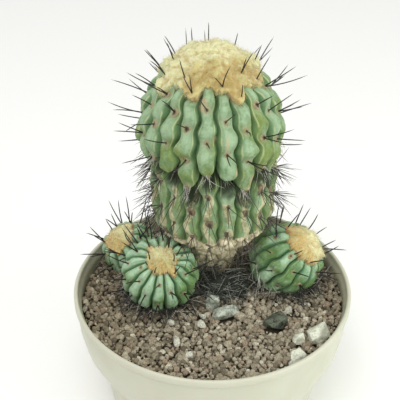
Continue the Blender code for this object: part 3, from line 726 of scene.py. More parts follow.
skinLook = dict(
    stem=dict(
        bloom=tint(162, 186, 152), flesh=tint(106, 136, 94), side=tint(132, 150, 86), aged=tint(126, 152, 104),
        # flank and the groove colour are painted shade on the rib flanks and in the grooves, in both looks
        flank=tint(104, 138, 96), flankFrom=0.66, deep=tint(84, 108, 74), gloom=tint(44, 52, 36),
        # rim and its line strength: a painted highlight where a rib turns, in both looks
        rim=tint(206, 214, 166), rimHighlight=0.48, frost=0.8, powder=0.0, blush=tint(184, 164, 132),
        cork=tint(236, 226, 194), corkDark=tint(194, 180, 144),
        strip=tint(204, 197, 160), stripDark=tint(146, 140, 104)),
    head=dict(
        bloom=tint(178, 206, 174), flesh=tint(130, 168, 130), side=tint(114, 146, 88), aged=tint(128, 158, 120),
        flank=tint(106, 144, 106), flankFrom=0.68, deep=tint(92, 126, 92), gloom=tint(70, 80, 60),
        rim=tint(200, 212, 164), rimHighlight=0.45, frost=0.8, powder=0.25, blush=tint(184, 166, 130),
        cork=tint(190, 176, 140), corkDark=tint(120, 98, 70),
        strip=tint(216, 198, 156), stripDark=tint(158, 150, 114)),
    # unevenness of the flesh, as (height, size, seed)
    swell=[(0.8, 8.0, 5), (0.45, 3.5, 6), (0.14, 1.5, 7)],
    crease=0.55, creaseSize=9.0, creaseWidth=0.035,
    gather=0.6,  # how far the mesh's points draw together at the grooves
    shadeFrom=(-1, 2), shadeTo=(9, 15), shadeRagged=2.5,  # painted shade under the ribs' ends
)
corkLook = dict(
    block=7.5, flat=0.85, warp=1.6, gap=(0.01, 0.12), bulge=3.4, split=1.6, grain=0.6,
    footTop=(101, 108), ragged=7, crestUp=5, frontUp=5,
    oldFrom=(-12, 4), strip=(0.11, 0.19), stripSway=0.16, stripHigh=0.5,
)


def skinPaint(name, look):
    paint = Paint(name, Specular_IOR_Level=0.2, Subsurface_Weight=0.03, Subsurface_Scale=0.002)
    crest, age, ribTone, side, recess = [
        paint.mark(mark) for mark in ("crest", "age", "ribTone", "edge", "recess")]
    soft, broad, fine = paint.mottle(5.0, 4.0), paint.mottle(14.0, 3.0), paint.mottle(1.3, 4.0)

    # green flesh, yellower on some ribs and at the old chins
    chin = age.step(0.1, 0.4) * age.step(0.62, 0.46)
    yellow = (age * 0.4 + chin * 0.3 + ribTone * 0.8 + broad * 2.2 + soft * 0.6 - 1.8).step(0.0, 0.7)
    flesh = paint.mix(yellow, look["flesh"], look["side"])
    # darker where ribTone is high; on the right head this is partly painted shade
    flesh = paint.shade(ribTone * 0.35, flesh, look["bloom"])
    flesh = paint.mix(age.step(0.3, 0.9) * 0.6, flesh, look["aged"])

    # pale bloom on the crests
    patches = soft * 1.2 + fine * 0.35 + broad * 0.9 + age * look["powder"] - yellow * 0.7 - 0.55
    frost = crest.step(0.3, 1.0) * patches.step(0.0, 0.7)
    skin = paint.mix(frost * look["frost"], flesh, look["bloom"])
    skin = paint.shade((fine * 0.5 + soft * 0.7 - 0.1).step(0.6, 0.3) * 0.25, skin, look["side"])

    # painted shade on the flanks, and more of it in the grooves
    turned = look["flankFrom"]
    skin = paint.mix(side.step(turned, turned + 0.16) * (0.6 - age * 0.3), skin, look["flank"])
    skin = paint.mix(side.step(0.93, 1.0) * (0.65 + age * 0.25), skin, look["deep"])

    # scars, painted shade under the chins, blush round the areoles, and a painted highlight: a pale line where the
    # rib turns
    scars = paint.cells(6.5).step(0.16, 0.05) * fine.step(0.5, 0.6) * 0.5
    scars = scars + (paint.mark("scar") + 0.3 * (fine - 0.5)).step(0.3, 0.8) * 0.75
    skin = paint.mix(scars, skin, look["blush"])
    # painted shade under the chins, in the gloom colour
    skin = paint.mix(recess * 0.92, skin, look["gloom"])
    skin = paint.mix(paint.mark("pad").step(0.45, 1.0) * 0.3, skin, look["blush"])
    # painted highlight along the turn of each rib
    line = side.step(turned - 0.08, turned - 0.02) * side.step(turned + 0.08, turned + 0.02)
    line = line * (1.1 - age) * paint.mottle(7.0, 1.0).step(0.4, 0.58)
    skin = paint.mix(line * look["rimHighlight"], skin, look["rim"])

    # cork, in strips on the old ribs and all over the foot
    corky = (paint.mark("cork") + 0.5 * (fine - 0.5) + 0.5 * (soft - 0.5)).step(0.35, 0.62)
    grain = paint.mix((fine * 0.8 + soft * 0.5 - 0.1).step(0.25, 0.75), look["corkDark"], look["cork"])
    grain = paint.mix(paint.mark("crack") * 0.65, grain, look["gloom"])
    # the strips fade in the painted shade under the chins
    strip = (paint.mark("strip") + 0.4 * (fine - 0.5) - 0.6 * recess).step(0.3, 0.7)
    stripTone = (soft + 0.4 * (fine - 0.5)).step(0.35, 0.6)
    skin = paint.mix(strip * 0.8, skin, paint.mix(stripTone, look["stripDark"], look["strip"]))
    paint.set(Base_Color=paint.mix(corky, skin, grain), Roughness=0.66 + 0.14 * frost + 0.2 * corky)

    creases = paint.node("ShaderNodeTexWave", dict(bands_direction="Z", wave_profile="SIN"), {
        "Vector": paint.place, "Scale": 0.55, "Distortion": 5.0, "Detail": 2.0, "Detail Scale": 0.25})
    ridge = side.step(0.2, 0.36) * side.step(0.5, 0.36) * (soft + 0.5 * broad).step(0.65, 0.85)
    rough = 0.35 * fine + corky * paint.mottle(0.8, 5.0, 0.6) + 0.4 * strip * fine
    paint.relief(rough + 0.22 * creases * side + 0.8 * ridge, 0.4)
    return paint


def bodyMarks(body, length, rib, across, points):
    form = body.form
    edge = np.abs(2 * across - 1)
    radius, height, _, _ = body.at(length)
    share = body.ribShare(length)
    angle = (rib + across) / body.ribs * tau
    draw = np.random.default_rng(body.seed + 5)
    sunny = 0.5 + 0.5 * np.cos(angle - math.radians(form["sunnySide"]))
    # ribTone: a tone per rib, higher on the sunny side; the right head's own share makes it yellower, and darker as
    # painted shade
    ribTone = 0.6 * draw.uniform(0, 1, body.ribs)[rib] + 0.4 * sunny**2 + form["sunAndShade"]
    near = body.offAreole(length, rib, across, radius)
    below = (body.belowChin(length, rib, edge) if body.waist else -99.0)
    below = below + skinLook["shadeRagged"] * lumps(points, 3.0, 9)
    scar = np.zeros(len(length))
    for turn, place, width, tall in form["scars"]:
        off = ((angle - math.radians(turn) + math.pi) % tau - math.pi) * radius
        scar += np.exp(-((off / width) ** 2) - ((length - place) / tall) ** 2)
    marks = dict(
        crest=1 - share * edge**2.2, age=1 - smoothStep(0.25, 0.85, length / body.end), ribTone=ribTone,
        pad=np.exp(-((near / (1.5 * form["padSize"])) ** 2)) * share, edge=edge * share, scar=scar,
        # where the painted shade under the chins goes
        recess=smoothStep(*skinLook["shadeFrom"], below) * (1 - smoothStep(*skinLook["shadeTo"], below)))
    return marks, height, ribTone


def stemCork(body, length, across, height, ribTone, points):
    # the foot is all cork, and old crests below the waist have a corky strip
    look = corkLook
    uneven = lumps(points, 7.0, 4)
    crest = 1 - (2 * across - 1) ** 2
    front = np.clip(-points[:, 1] / np.hypot(points[:, 0], points[:, 1]), 0, 1) ** 2
    line = height + look["ragged"] * uneven - look["crestUp"] * crest + 2 - look["frontUp"] * front
    foot = 1 - smoothStep(*look["footTop"], line)
    young, high = look["oldFrom"]
    old = 1 - smoothStep(body.waist + young, body.waist + high, length)
    off = np.abs(across - 0.5 - look["stripSway"] * np.sin(length / 6.0 + 9 * ribTone) - 0.1 * uneven)
    strip = (1 - smoothStep(*look["strip"], off - 0.12 * uneven)) * old
    return foot, strip * smoothStep(0.1, 0.3, ribTone + 0.8 * uneven)


def roughenCork(points, out, marks):
    # cracked blocks on the foot, and strips that stand a little proud
    look = corkLook
    warped = points + look["warp"] * np.stack([lumps(points, 5.0, seed) for seed in (11, 12, 13)], -1)
    near, second = crackle(warped * [1, 1, look["flat"]], look["block"], 2)
    gap = 1 - smoothStep(*look["gap"], second - near)
    rough = look["grain"] * lumps(points, 1.8, 8) + look["bulge"] * (0.6 - near) - look["split"] * gap
    marks["crack"] = marks["cork"] * gap
    points = points + out * (marks["cork"] * rough)[:, None]
    return points + out * (look["stripHigh"] * marks["strip"] * (1 + lumps(points, 1.2, 15)))[:, None]


def makeSkin(name, paint):
    body, look = bodies[name], skinLook
    form = body.form
    turn = np.linspace(0, 1, form["across"], endpoint=False)
    turn = turn - look["gather"] / tau * np.sin(tau * turn)
    lengths = np.arange(0, body.end - 0.3, form["ringStep"])
    length, rib = [grid.ravel() for grid in np.meshgrid(
        lengths, np.repeat(np.arange(body.ribs), len(turn)), indexing="ij")]
    across = np.tile(turn, body.ribs * len(lengths))
    points = body.surface(length, rib, across)
    out = unit(points * [1, 1, 0])
    marks, height, ribTone = bodyMarks(body, length, rib, across, points)
    marks["cork"] = marks["crack"] = marks["strip"] = np.zeros(len(points))
    if name == "stem":
        marks["cork"], marks["strip"] = stemCork(body, length, across, height, ribTone, points)
        points = roughenCork(points, out, marks)
    swell = sum(tall * lumps(points, size, seed) for tall, size, seed in look["swell"])
    creases = np.exp(-((lumps(points * [1, 1, 1.6], look["creaseSize"], 14) / look["creaseWidth"]) ** 2))
    worn = 1 - 0.6 * smoothStep(0.3, 0.8, length / body.end)
    swell = (swell - look["crease"] * creases * worn) * body.ribShare(length) * form["rough"]
    points = points + out * swell[:, None]
    around = body.ribs * form["across"]
    points = np.vstack([points, [0, 0, body.heights[-1]]])
    faces = [gridFaces(len(lengths), around), fan((len(lengths) - 1) * around, around, len(points) - 1),
             np.arange(around)[::-1][None]]
    marks = {key: np.append(values, values[-1]) for key, values in marks.items()}
    meshPiece(name + "Skin", body.world(points), faces, paint, [name], marks)


stemSkin, headSkin = skinPaint("stemSkin", skinLook["stem"]), skinPaint("headSkin", skinLook["head"])
for bodyName in bodies:
    makeSkin(bodyName, stemSkin if bodyName == "stem" else headSkin)
print("skins grown")


# Wool on each crown, with the fibres that stand off it

woolLook = dict(
    # the ochre is golden wool, and also painted shade in the hollows between puffs
    crown=dict(cream=tint(225, 222, 170), straw=tint(200, 187, 124), ochreAndShade=tint(178, 146, 80), relief=0.6),
    head=dict(cream=tint(224, 220, 168), straw=tint(204, 190, 128), ochreAndShade=tint(206, 172, 108), relief=0.45,
              rust=tint(172, 120, 70)),
    around=(130, 150), rows=(24, 66), fullSize=23.4,  # a small cap's mesh, what a full one adds, its radius
    lift=0.75, tuck=2.2, bigLumps=(9.0, 0.35), puffs=((5.6, 2.6), (2.7, 0.9)), fluff=(1.2, 0.35),
    ragged=0.03, waves=[(1.0, 17, 1.3), (1.2, 41, 0.4), (0.8, 67, 0)],  # (strength, count, turn)
    fibres=dict(stem=5400, head_front=1200, head_right=1500, head_back=900), fibreLength=(1.2, 3.2),
    fibreRadius=0.06, fibreSteps=4, fibreCurl=0.35, rimShare=0.3, rimBand=0.05,
)


def woolPaint(name, look):
    paint = Paint(name, Roughness=1.0, Specular_IOR_Level=0.1, Sheen_Weight=0.35, Sheen_Roughness=0.6,
                  Subsurface_Weight=0.12, Subsurface_Scale=0.003)
    hollow, rim, soft = paint.mark("hollow"), paint.mark("rim"), paint.mottle(4.0, 5.0)
    rusty = "rust" in look
    belt = paint.mark("front")  # golden below the pale top
    if not rusty:
        belt = belt * rim.step(0.25, 0.5) * (1 - 0.5 * rim.step(0.8, 0.95))
    base = paint.mix((soft + 0.2 - 0.8 * belt).step(0.25, 0.75), look["straw"], look["cream"])
    # ochre in the hollows between puffs, in patches and on the belt: golden wool, and painted shade in the hollows
    golden = (hollow * 1.1 + 0.9 * (paint.mottle(1.6, 3.0) - 0.5) - 0.2 + 0.45 * belt).step(0.3, 0.95) * 0.65
    base = paint.mix(golden, base, look["ochreAndShade"])
    if rusty:
        base = paint.mix(rim.step(0.75, 1.0) * (soft + 0.15).step(0.45, 0.8) * 0.6, base, look["rust"])
    paint.set(Base_Color=base)
    paint.relief(paint.mottle(0.7, 5.0, 1.0) + 0.9 * paint.mottle(2.0, 3.0), look["relief"])
    return paint


def woolEdgeAt(body, angle):
    # the wool runs down over the topmost areoles
    form = body.form
    place = (angle / tau * body.ribs) % body.ribs
    rib = np.floor(place).astype(int)
    areole = body.areoleNear(np.full_like(angle, body.woolEdge - 0.2 * body.pitch), rib)
    reach = body.woolEdge - areole + 0.08 * body.pitch
    reach = np.where((reach > 0) & (reach < form["lobe"] * body.pitch), reach, 0)
    wave = np.sin(7 * angle + 2.0 * body.seed)
    for strength, count, turn in woolLook["waves"]:
        wave = wave + strength * np.sin(count * angle + turn)
    ragged = woolLook["ragged"] * body.pitch * wave
    for centre, drop, width in form["droops"]:
        off = (angle - math.radians(centre) + math.pi) % tau - math.pi
        ragged = ragged + drop * np.exp(-((off / math.radians(width)) ** 4))
    tuft = reach * smoothStep(0.0, 0.45, 1 - np.abs(place % 1 - 0.5) * 2)
    return body.woolEdge - tuft - ragged, tuft


def woolSurface(body, share, angle):
    # points on the felt, its outward direction, and how hollow it is there. share is 0 at the rim, 1 on top
    look, seed = woolLook, body.seed
    edge, tuft = woolEdgeAt(body, angle)
    length = edge + (body.end - edge) * share
    radius, height, out, up = body.at(length)
    base = np.stack([radius * np.cos(angle), radius * np.sin(angle), height], -1)
    thin, thick = body.form["woolThick"]
    full = thin + (thick - thin) * smoothStep(-0.1, 0.75, share)
    bigSize, bigHigh = look["bigLumps"]
    big = lumps(base, bigSize, seed) * bigHigh
    puffs = sum(tall * np.sqrt(lumps(base, size, seed + size) ** 2 + 0.012) for size, tall in look["puffs"])
    fluffSize, fluffHigh = look["fluff"]
    small = puffs - 1.0 + fluffHigh * lumps(base, fluffSize, seed)
    tuck = smoothStep(0.0, 0.05, share)  # 0 at the rim, where the felt dips into the skin
    lift = look["lift"] + full * (1 + big) * (0.25 + 0.75 * tuck)
    lift += small * np.minimum(full, 2.2) * body.form["puffy"] * tuck
    lift += 0.25 * tuft * tuck * (1 - smoothStep(0.05, 0.25, share)) - look["tuck"] * (1 - tuck)
    way = np.stack([out * np.cos(angle), out * np.sin(angle), up], -1)
    # hollow: the dips between puffs, which get golden wool and painted shade
    hollow = np.clip(0.45 - 0.75 * small - 0.4 * big, 0, 1)
    return base + way * lift[:, None], way, hollow


def goldShare(body, points):
    # how far a spot on the wool lies towards its golden side
    off = (body.world(points) - body.matrix[:3, 3])[:, :2]
    off = off - off.mean(0)
    way = unit(np.array(body.form["goldWay"]))
    return smoothStep(*body.form["goldFrom"], off @ way / body.form["woolRadius"])


def makeWool(name, paint):
    body = bodies[name]
    scale = body.form["woolRadius"] / woolLook["fullSize"]
    around, rows = [int(least + more * scale) for least, more in (woolLook["around"], woolLook["rows"])]
    share = (np.arange(rows) / rows) ** 0.9
    turn = np.arange(around) * tau / around
    share, angle = [grid.ravel() for grid in np.meshgrid(share, turn, indexing="ij")]
    points, _, hollow = woolSurface(body, share, angle)
    top, _, topHollow = woolSurface(body, np.array([0.995]), np.array([0.0]))
    faces = [gridFaces(rows, around), fan((rows - 1) * around, around, rows * around)]
    points = np.vstack([points, top * [0, 0, 1]])
    marks = dict(hollow=np.append(hollow, topHollow), rim=np.append(1 - share, 0.0),
                 front=goldShare(body, points))
    meshPiece(name + "Felt", body.world(points), faces, paint, [name + "_wool"], marks)
    growFibres(name, body, paint)


def growFibres(name, body, paint):
    look = woolLook
    count, steps = look["fibres"][name], look["fibreSteps"]
    draw = np.random.default_rng(body.seed + 70)
    # as many on each bit of area, and more at the rim
    share = 1 - np.sqrt(draw.uniform(0, 1, count))
    share = np.where(draw.random(count) < look["rimShare"], look["rimBand"] * share, share)
    angle = draw.uniform(0, tau, count)
    roots, way, hollow = woolSurface(body, share * 0.98, angle)
    t = np.linspace(0, 1, steps)[None, :, None]
    size = draw.uniform(*look["fibreLength"], count)[:, None, None]
    wild, curl = draw.normal(size=(count, 3)), draw.normal(size=(count, 3))
    flat = np.hypot(way[:, 0], way[:, 1])[:, None]
    down = np.column_stack([way[:, :2] / flat * way[:, 2:], -flat])
    down = down * (share < look["rimBand"])[:, None]  # the rim hangs
    lean = unit(way * 0.75 + 0.7 * unit(wild) + 0.9 * down)[:, None]
    paths = roots[:, None] - way[:, None] * 0.3 + lean * size * t
    paths = paths + unit(curl)[:, None] * size * look["fibreCurl"] * t**2
    points, faces, _ = strands(paths, look["fibreRadius"] * thinning(0.7, steps)[None], 3)
    each = len(points) // count
    # the fibres take part of the hollows' golden colour and painted shade
    marks = dict(hollow=hollow * 0.7, rim=1 - share, front=goldShare(body, roots))
    marks = {key: np.repeat(values, each) for key, values in marks.items()}
    meshPiece(name + "Fibres", body.world(points), faces, paint, [name + "_wool"], marks)


stemWool, headWool = woolPaint("crownWool", woolLook["crown"]), woolPaint("headWool", woolLook["head"])
for bodyName in bodies:
    makeWool(bodyName, stemWool if bodyName == "stem" else headWool)
print("wool felted")


# Areoles and spines

spineLook = dict(
    dark=tint(30, 27, 25), brown=tint(66, 52, 40), grey=tint(92, 88, 80), base=0.37, tip=0.11, sides=5, steps=7,
    # lengths on the young barrel, below its waist, on the heads and out of the wool
    stem=(12, 22), low=(11, 21), head=(11, 18), wool=(9, 14),
    bend=(0.02, 0.2), longer=1.35, longShare=0.1, freshAge=0.15, oldAge=(0.3, 1), thinOld=(0.35, 0.75),
    thickHead=1.15,
    padFresh=tint(158, 146, 112), padOld=tint(118, 106, 82), padCore=tint(70, 58, 44), padHeight=0.62,
    padSizes=[0.5, 0.58, 0.66, 0.95], padKinds=6,
)


def spinePaint():
    look = spineLook
    paint = Paint("spine", Specular_IOR_Level=0.5)
    along, old = paint.mark("along"), paint.mark("old")
    worn = (old * 1.2 + paint.mottle(2.0) - 0.75).step(0.1, 0.7)
    shaft = paint.mix(along.step(0.22, 0.0) * 0.8, look["dark"], look["brown"])
    paint.set(Base_Color=paint.mix(worn * 0.7, shaft, look["grey"]), Roughness=0.4 + 0.4 * worn)
    paint.relief(paint.mottle(0.5, 3.0), 0.04)
    return paint


def padPaint():
    look = spineLook
    paint = Paint("areoleFelt", Roughness=1.0, Specular_IOR_Level=0.1, Sheen_Weight=0.3)
    old, spots = paint.mark("old"), paint.mottle(0.9, 4.0)
    felt = paint.mix((old + spots - 0.5).step(0.2, 0.7), look["padFresh"], look["padOld"])
    core = (paint.mark("core") + 0.5 * (spots - 0.5)).step(0.35, 0.8)
    paint.set(Base_Color=paint.mix(core, felt, look["padCore"]))
    paint.relief(spots, 0.4)
    return paint


def clearOfOthers(paths, own, margin=0.8):
    # true for the strands that enter no other body, the grit or the pot's wall
    free = paths[..., 2].min(1) > soilLevel - 0.5
    for name, body in bodies.items():
        if name != own:
            free &= ~body.inside(paths, margin).any(1)
    wall = np.hypot(paths[..., 0], paths[..., 1])
    return free & ~((wall > 71) & (paths[..., 2] < 80)).any(1)


def spineGroup(body, isStem, length, way, draw):
    # how many spines an areole has, how long they are, and how far they rise
    look = spineLook
    if length > body.woolEdge - 0.25 * body.pitch:
        return 1 + int(draw.random() < 0.35), look["wool"], 0.55
    if isStem and length < body.waist + 4:
        worn = smoothStep(0.5, 0.9, -way[1])  # the side towards the viewer has lost many
        return int(draw.integers(7, 12) * (1 - 0.6 * worn)), look["low"], -0.5
    if isStem:
        share = np.clip(length / body.woolEdge, 0, 1)
        return 1 + int(draw.random() < 0.5), look["stem"], 0.1 + 0.5 * (share - 0.8)
    young = length > body.widestLength - 0.15 * body.pitch
    return 1 + int(draw.random() < 0.55) if young else int(draw.random() < 0.7), look["head"], 0.3


def spinesOf(name, draw):
    # (root, direction, length, thickness, age) of each of a body's spines, in its own frame
    body, look = bodies[name], spineLook
    isStem = name == "stem"
    low = body.form["smooth"] + 0.3 * body.pitch if isStem else body.widestLength - 0.75 * body.pitch
    found = []
    for length, rib in body.areoles(low, body.woolEdge + (0.5 if isStem else 0.15) * body.pitch):
        root, way = body.surface(length, rib, 0.5), body.normal(length, rib)
        if length > body.woolEdge - 0.25 * body.pitch:
            angle = np.array([tau * (rib + 0.5) / body.ribs])
            edge, _ = woolEdgeAt(body, angle)
            root = woolSurface(body, np.clip((length - edge) / (body.end - edge), 0, 1), angle)[0][0]
        count, span, lift = spineGroup(body, isStem, length, way, draw)
        underWaist = isStem and length < body.waist + 4
        around = np.cross(way, [0, 0, 1.0])
        around = around / max(np.linalg.norm(around), 1e-6)
        for i in range(count):
            fanOut = (i - (count - 1) / 2) * (0.3 if count < 4 else 0.34) + draw.normal() * 0.14
            rise = lift + draw.normal() * 0.2 - 0.25 * (i % 2)
            size = draw.uniform(*span) * (1 if i < 2 else 0.75)
            size = size * (look["longer"] if draw.random() < look["longShare"] else 1)
            old, thick = look["freshAge"], 1.0 if isStem else look["thickHead"]
            if underWaist:
                old, thick = draw.uniform(*look["oldAge"]), draw.uniform(*look["thinOld"])
            found.append((root, way + around * fanOut + np.array([0, 0, rise]), size, thick, old))
    return found


def makeSpines(name, paint):
    look, body, steps = spineLook, bodies[name], spineLook["steps"]
    draw = np.random.default_rng(len(name) + 31)
    roots, ways, sizes, thick, old = [np.array(column, float) for column in zip(*spinesOf(name, draw))]
    paths = curvedPaths(body.world(roots), body.turned(unit(ways)), sizes,
                        draw.uniform(*look["bend"], len(sizes)), steps, draw)
    free = clearOfOthers(paths, name)
    taper = look["tip"] + (look["base"] - look["tip"]) * (1 - np.linspace(0, 1, steps)) ** 0.5
    points, faces, along = strands(paths[free], thick[free][:, None] * taper, look["sides"])
    marks = dict(along=along, old=np.repeat(old[free], len(points) // free.sum()))
    meshPiece(name + "Spines", points, faces, paint, [name], marks)


def makePads(name, paint):
    body, look = bodies[name], spineLook
    draw = np.random.default_rng(len(name) + 3)
    kinds, faces = grainKinds(look["padKinds"], draw, 2)
    parts = []
    low = body.form["smooth"] + 0.3 * body.pitch
    for length, rib in body.areoles(low, body.woolEdge - 0.1 * body.pitch):
        centre, way = body.surface(length, rib, 0.5), body.normal(length, rib)
        side = unit(np.cross([0, 0, 1.0], way))
        size = body.form["padSize"] * draw.choice(look["padSizes"])
        kind = kinds[draw.integers(0, look["padKinds"])]
        shape = kind * [size, size * 1.25, look["padHeight"] * size / 1.3]
        shape = shape @ np.array([side, np.cross(way, side), way]) + centre + way * 0.05
        old = 1 - smoothStep(0.45, 0.8, length / body.woolEdge) + draw.uniform(-0.2, 0.2)
        core = 1 - np.hypot(*kind[:, :2].T)
        parts.append((shape, [faces], np.column_stack([np.full(len(shape), old), core])))
    points, faces, marks = joined(parts)
    marks = dict(old=marks[:, 0], core=marks[:, 1])
    meshPiece(name + "Areoles", body.world(points), faces, paint, [name], marks)


spineCoat, padFelt = spinePaint(), padPaint()
for bodyName in bodies:
    makeSpines(bodyName, spineCoat)
    makePads(bodyName, padFelt)
print("spines set")


# White hairs under the chins and round the foot of the heads

hairLook = dict(white=tint(224, 224, 212), grey=tint(120, 114, 100), radius=0.11, steps=7, bend=(0.1, 0.5),
                spread=(0.25, 0.75), lift=(0.3, 0.9), hang=0.8,
                stem=dict(each=12, length=(4, 11)), head=dict(each=7, length=(6, 15)))


def hairPaint():
    paint = Paint("oldHair", Roughness=0.8, Specular_IOR_Level=0.2)
    tone = paint.mottle(2.0).step(0.35, 0.65) * 0.6
    paint.set(Base_Color=paint.mix(tone, hairLook["white"], hairLook["grey"]))
    return paint


def makeHairs(name, paint):
    body, look = bodies[name], hairLook
    isStem = name == "stem"
    own = look["stem" if isStem else "head"]
    draw = np.random.default_rng(len(name) + 50)
    roots, ways = [], []
    for rib in range(body.ribs):
        length = body.areoleNear(body.waist, rib) if isStem else body.widestLength - 0.55 * body.pitch
        for _ in range(own["each"]):
            at = length + draw.uniform(-1.5, 1.5)
            roots.append(body.surface(at, rib, draw.uniform(*look["spread"])))
            ways.append(body.normal(at, rib) * draw.uniform(*look["lift"]) + draw.normal(size=3) * 0.35)
    roots, ways = body.world(np.array(roots)), body.turned(np.array(ways)) - [0, 0, look["hang"]]
    sizes = draw.uniform(*own["length"], len(roots))
    bend = draw.uniform(*look["bend"], len(sizes))
    paths = curvedPaths(roots, unit(ways), sizes, bend, look["steps"], draw)
    paths = paths[clearOfOthers(paths, name, 0.3)]
    points, faces, _ = strands(paths, look["radius"] * thinning(0.6, look["steps"])[None], 4)
    meshPiece(name + "Hairs", points, faces, paint, [name])


oldHair = hairPaint()
for bodyName in bodies:
    makeHairs(bodyName, oldHair)
print("hairs hung")


# Fine old spines that lie on the grit round each foot

litterLook = dict(each=dict(stem=170, head_front=420, head_right=380, head_back=150), steps=7,
                  radius=(0.08, 0.2), length=(5, 15), rise=(0.6, 4.0), bend=(0.05, 0.35), out=(0.3, 1.1), floor=1.3,
                  dark=tint(40, 40, 36), pale=tint(196, 192, 176), palest=0.16)


def litterPaint():
    look = litterLook
    paint = Paint("litter", Roughness=0.8)
    tone = (paint.mark("tone") + 0.3 * (paint.mottle(2.0) - 0.5)).step(0.1, 0.95)
    paint.set(Base_Color=paint.mix(tone, look["dark"], look["pale"]))
    return paint


def footReach(body, angle, height):
    # how far out a body reaches at this height, towards each angle
    middle = body.matrix[:2, 3]
    reach = np.zeros(len(angle))
    out = np.column_stack([np.cos(angle), np.sin(angle)])
    for r in np.arange(1, 36, 0.5):
        at = np.column_stack([middle + r * out, np.full(len(angle), height)])
        reach = np.where(body.inside(at, 0), r, reach)
    return reach


def makeLitter(name, paint):
    body, look = bodies[name], litterLook
    count, steps = look["each"][name], look["steps"]
    draw = np.random.default_rng(len(name) + 90)
    angle = draw.uniform(0, tau, count)
    rise = draw.uniform(*look["rise"], count)
    reach = footReach(body, angle, soilLevel + 3) + draw.uniform(0.0, 3.0, count)
    out = flatSpots(np.column_stack([np.cos(angle), np.sin(angle)]))
    roots = out * reach[:, None] + [*body.matrix[:2, 3], soilLevel + 0.8] + rise[:, None] * [0, 0, 1]
    ways = out * draw.uniform(*look["out"], (count, 1))
    ways = unit(ways + draw.normal(size=(count, 3)) * [0.55, 0.55, 0.25])
    sizes = draw.uniform(*look["length"], count)
    paths = curvedPaths(roots, ways, sizes, draw.uniform(*look["bend"], count), steps, draw)
    paths[..., 2] = np.maximum(paths[..., 2], soilLevel + look["floor"])
    paths = paths[clearOfOthers(paths, name, 0.2)]
    radii = draw.uniform(*look["radius"], (len(paths), 1)) * thinning(0.6, steps)
    points, faces, _ = strands(paths, radii, 4)
    tone = (draw.random(len(paths)) < look["palest"]) * 0.9 + draw.uniform(0, 0.3, len(paths))
    marks = dict(tone=np.repeat(tone, len(points) // len(paths)))
    meshPiece(name + "Litter", points, faces, paint, [name], marks)


dryLitter = litterPaint()
for bodyName in bodies:
    makeLitter(bodyName, dryLitter)
print("litter strewn")


# Shed spines and dry roots in front of the stem

tangleLook = dict(
    middle=(6.5, 5.5, 69.5), half=(15.5, 10, 8.5), seed=31, strands=760, steps=7, radius=(0.12, 0.3),
    length=(6, 15), bend=(-0.3, 0.4), floor=0.6, dark=tint(52, 55, 48), grey=tint(174, 177, 165),
    lumps=[(0.3, 0.45, 0), (0.16, 0.16, 2), (0.1, 0.07, 4)],  # (height, size, seed)
    # the strands that stand against the stem, and where their roots are
    leaning=0.3, leanX=(-12, 16), leanY=(6, 14), leanRise=13,
)


def tanglePaint():
    look = tangleLook
    paint = Paint("dryTangle", Roughness=0.85)
    tone = (paint.mark("tone") + 0.5 * (paint.mottle(3.0) - 0.5)).step(0.35, 0.95)
    paint.set(Base_Color=paint.mix(tone, look["dark"], look["grey"]))
    return paint


def makeTangle():
    look = tangleLook
    draw = np.random.default_rng(look["seed"])
    middle, half = np.array(look["middle"]), np.array(look["half"])
    sphere, faces = ball(5)
    rough = sum((tall * lumps(sphere, size, seed) for tall, size, seed in look["lumps"]), 0.8)
    core = middle + sphere * half * rough[:, None]
    count = look["strands"]
    way = unit(draw.normal(size=(count, 3)) * [1, 1, 0.6] + [0, -0.25, 0.5])
    roots = middle + way * half * draw.uniform(0.7, 0.95, (count, 1))
    roots[:, 2] = np.maximum(roots[:, 2], soilLevel + 0.4)
    lean = unit(way * draw.uniform(-0.2, 0.6, (count, 1)) + draw.normal(size=(count, 3)) * [0.9, 0.9, 0.3])
    up = draw.random(count) < look["leaning"]
    spans = (look["leanX"], look["leanY"], (soilLevel, soilLevel + look["leanRise"]))
    roots[up] = np.column_stack([draw.uniform(*span, up.sum()) for span in spans])
    lean[up] = unit(draw.normal(size=(up.sum(), 3)) * [1.0, 0.5, 0.5] + [0, 0, 0.1])
    sizes = draw.uniform(*look["length"], count)
    paths = curvedPaths(roots, lean, sizes, draw.uniform(*look["bend"], count), look["steps"], draw)
    paths[..., 2] = np.maximum(paths[..., 2], soilLevel + look["floor"])
    paths = paths[clearOfOthers(paths, None, 0.0)]
    radii = draw.uniform(*look["radius"], len(paths))[:, None] * thinning(0.75, look["steps"])
    points, strandFaces, _ = strands(paths, radii, 4)
    tones = np.repeat(draw.uniform(0, 1, len(paths)) ** 1.5, len(points) // len(paths))
    # the core is the matted middle of dead spines, coloured wholly dark, partly as painted shade inside the tangle
    points, faces, tone = joined([(core, [faces], np.zeros(len(core))), (points, strandFaces, tones)])
    meshPiece("shedSpines", points, faces, tanglePaint(), ["shed_spines"], {"tone": tone})
    print("tangle laid:", len(paths), "strands")


makeTangle()


# Stones

stoneLook = dict(
    grey=dict(light=tint(192, 197, 182), dark=tint(98, 105, 93)),
    pale=dict(light=tint(228, 231, 212), dark=tint(180, 183, 162)),
    dark=dict(light=tint(98, 104, 88), dark=tint(34, 37, 31)),
    kinds=dict(stone_dark="dark", stone_block="grey", stone_slab="grey"),
    bevel=0.25, cuts=3, rough=0.3, roughest=dict(stone_dark=0.8),
    bumps=((2.4, 0.6), (0.9, 0.3)),  # (size, height)
)


def stonePaint(name, look):
    paint = Paint(name, Roughness=0.9, Specular_IOR_Level=0.3)
    veins = paint.mottle(3.2, 6.0, 0.3)
    base = paint.mix(veins.step(0.3, 0.6), look["dark"], look["light"])
    paint.set(Base_Color=paint.mix(paint.mottle(0.9, 4.0).step(0.5, 0.66) * 0.7, base, look["dark"]))
    paint.relief(paint.mottle(0.8, 5.0) + 0.5 * veins, 0.55)
    return paint


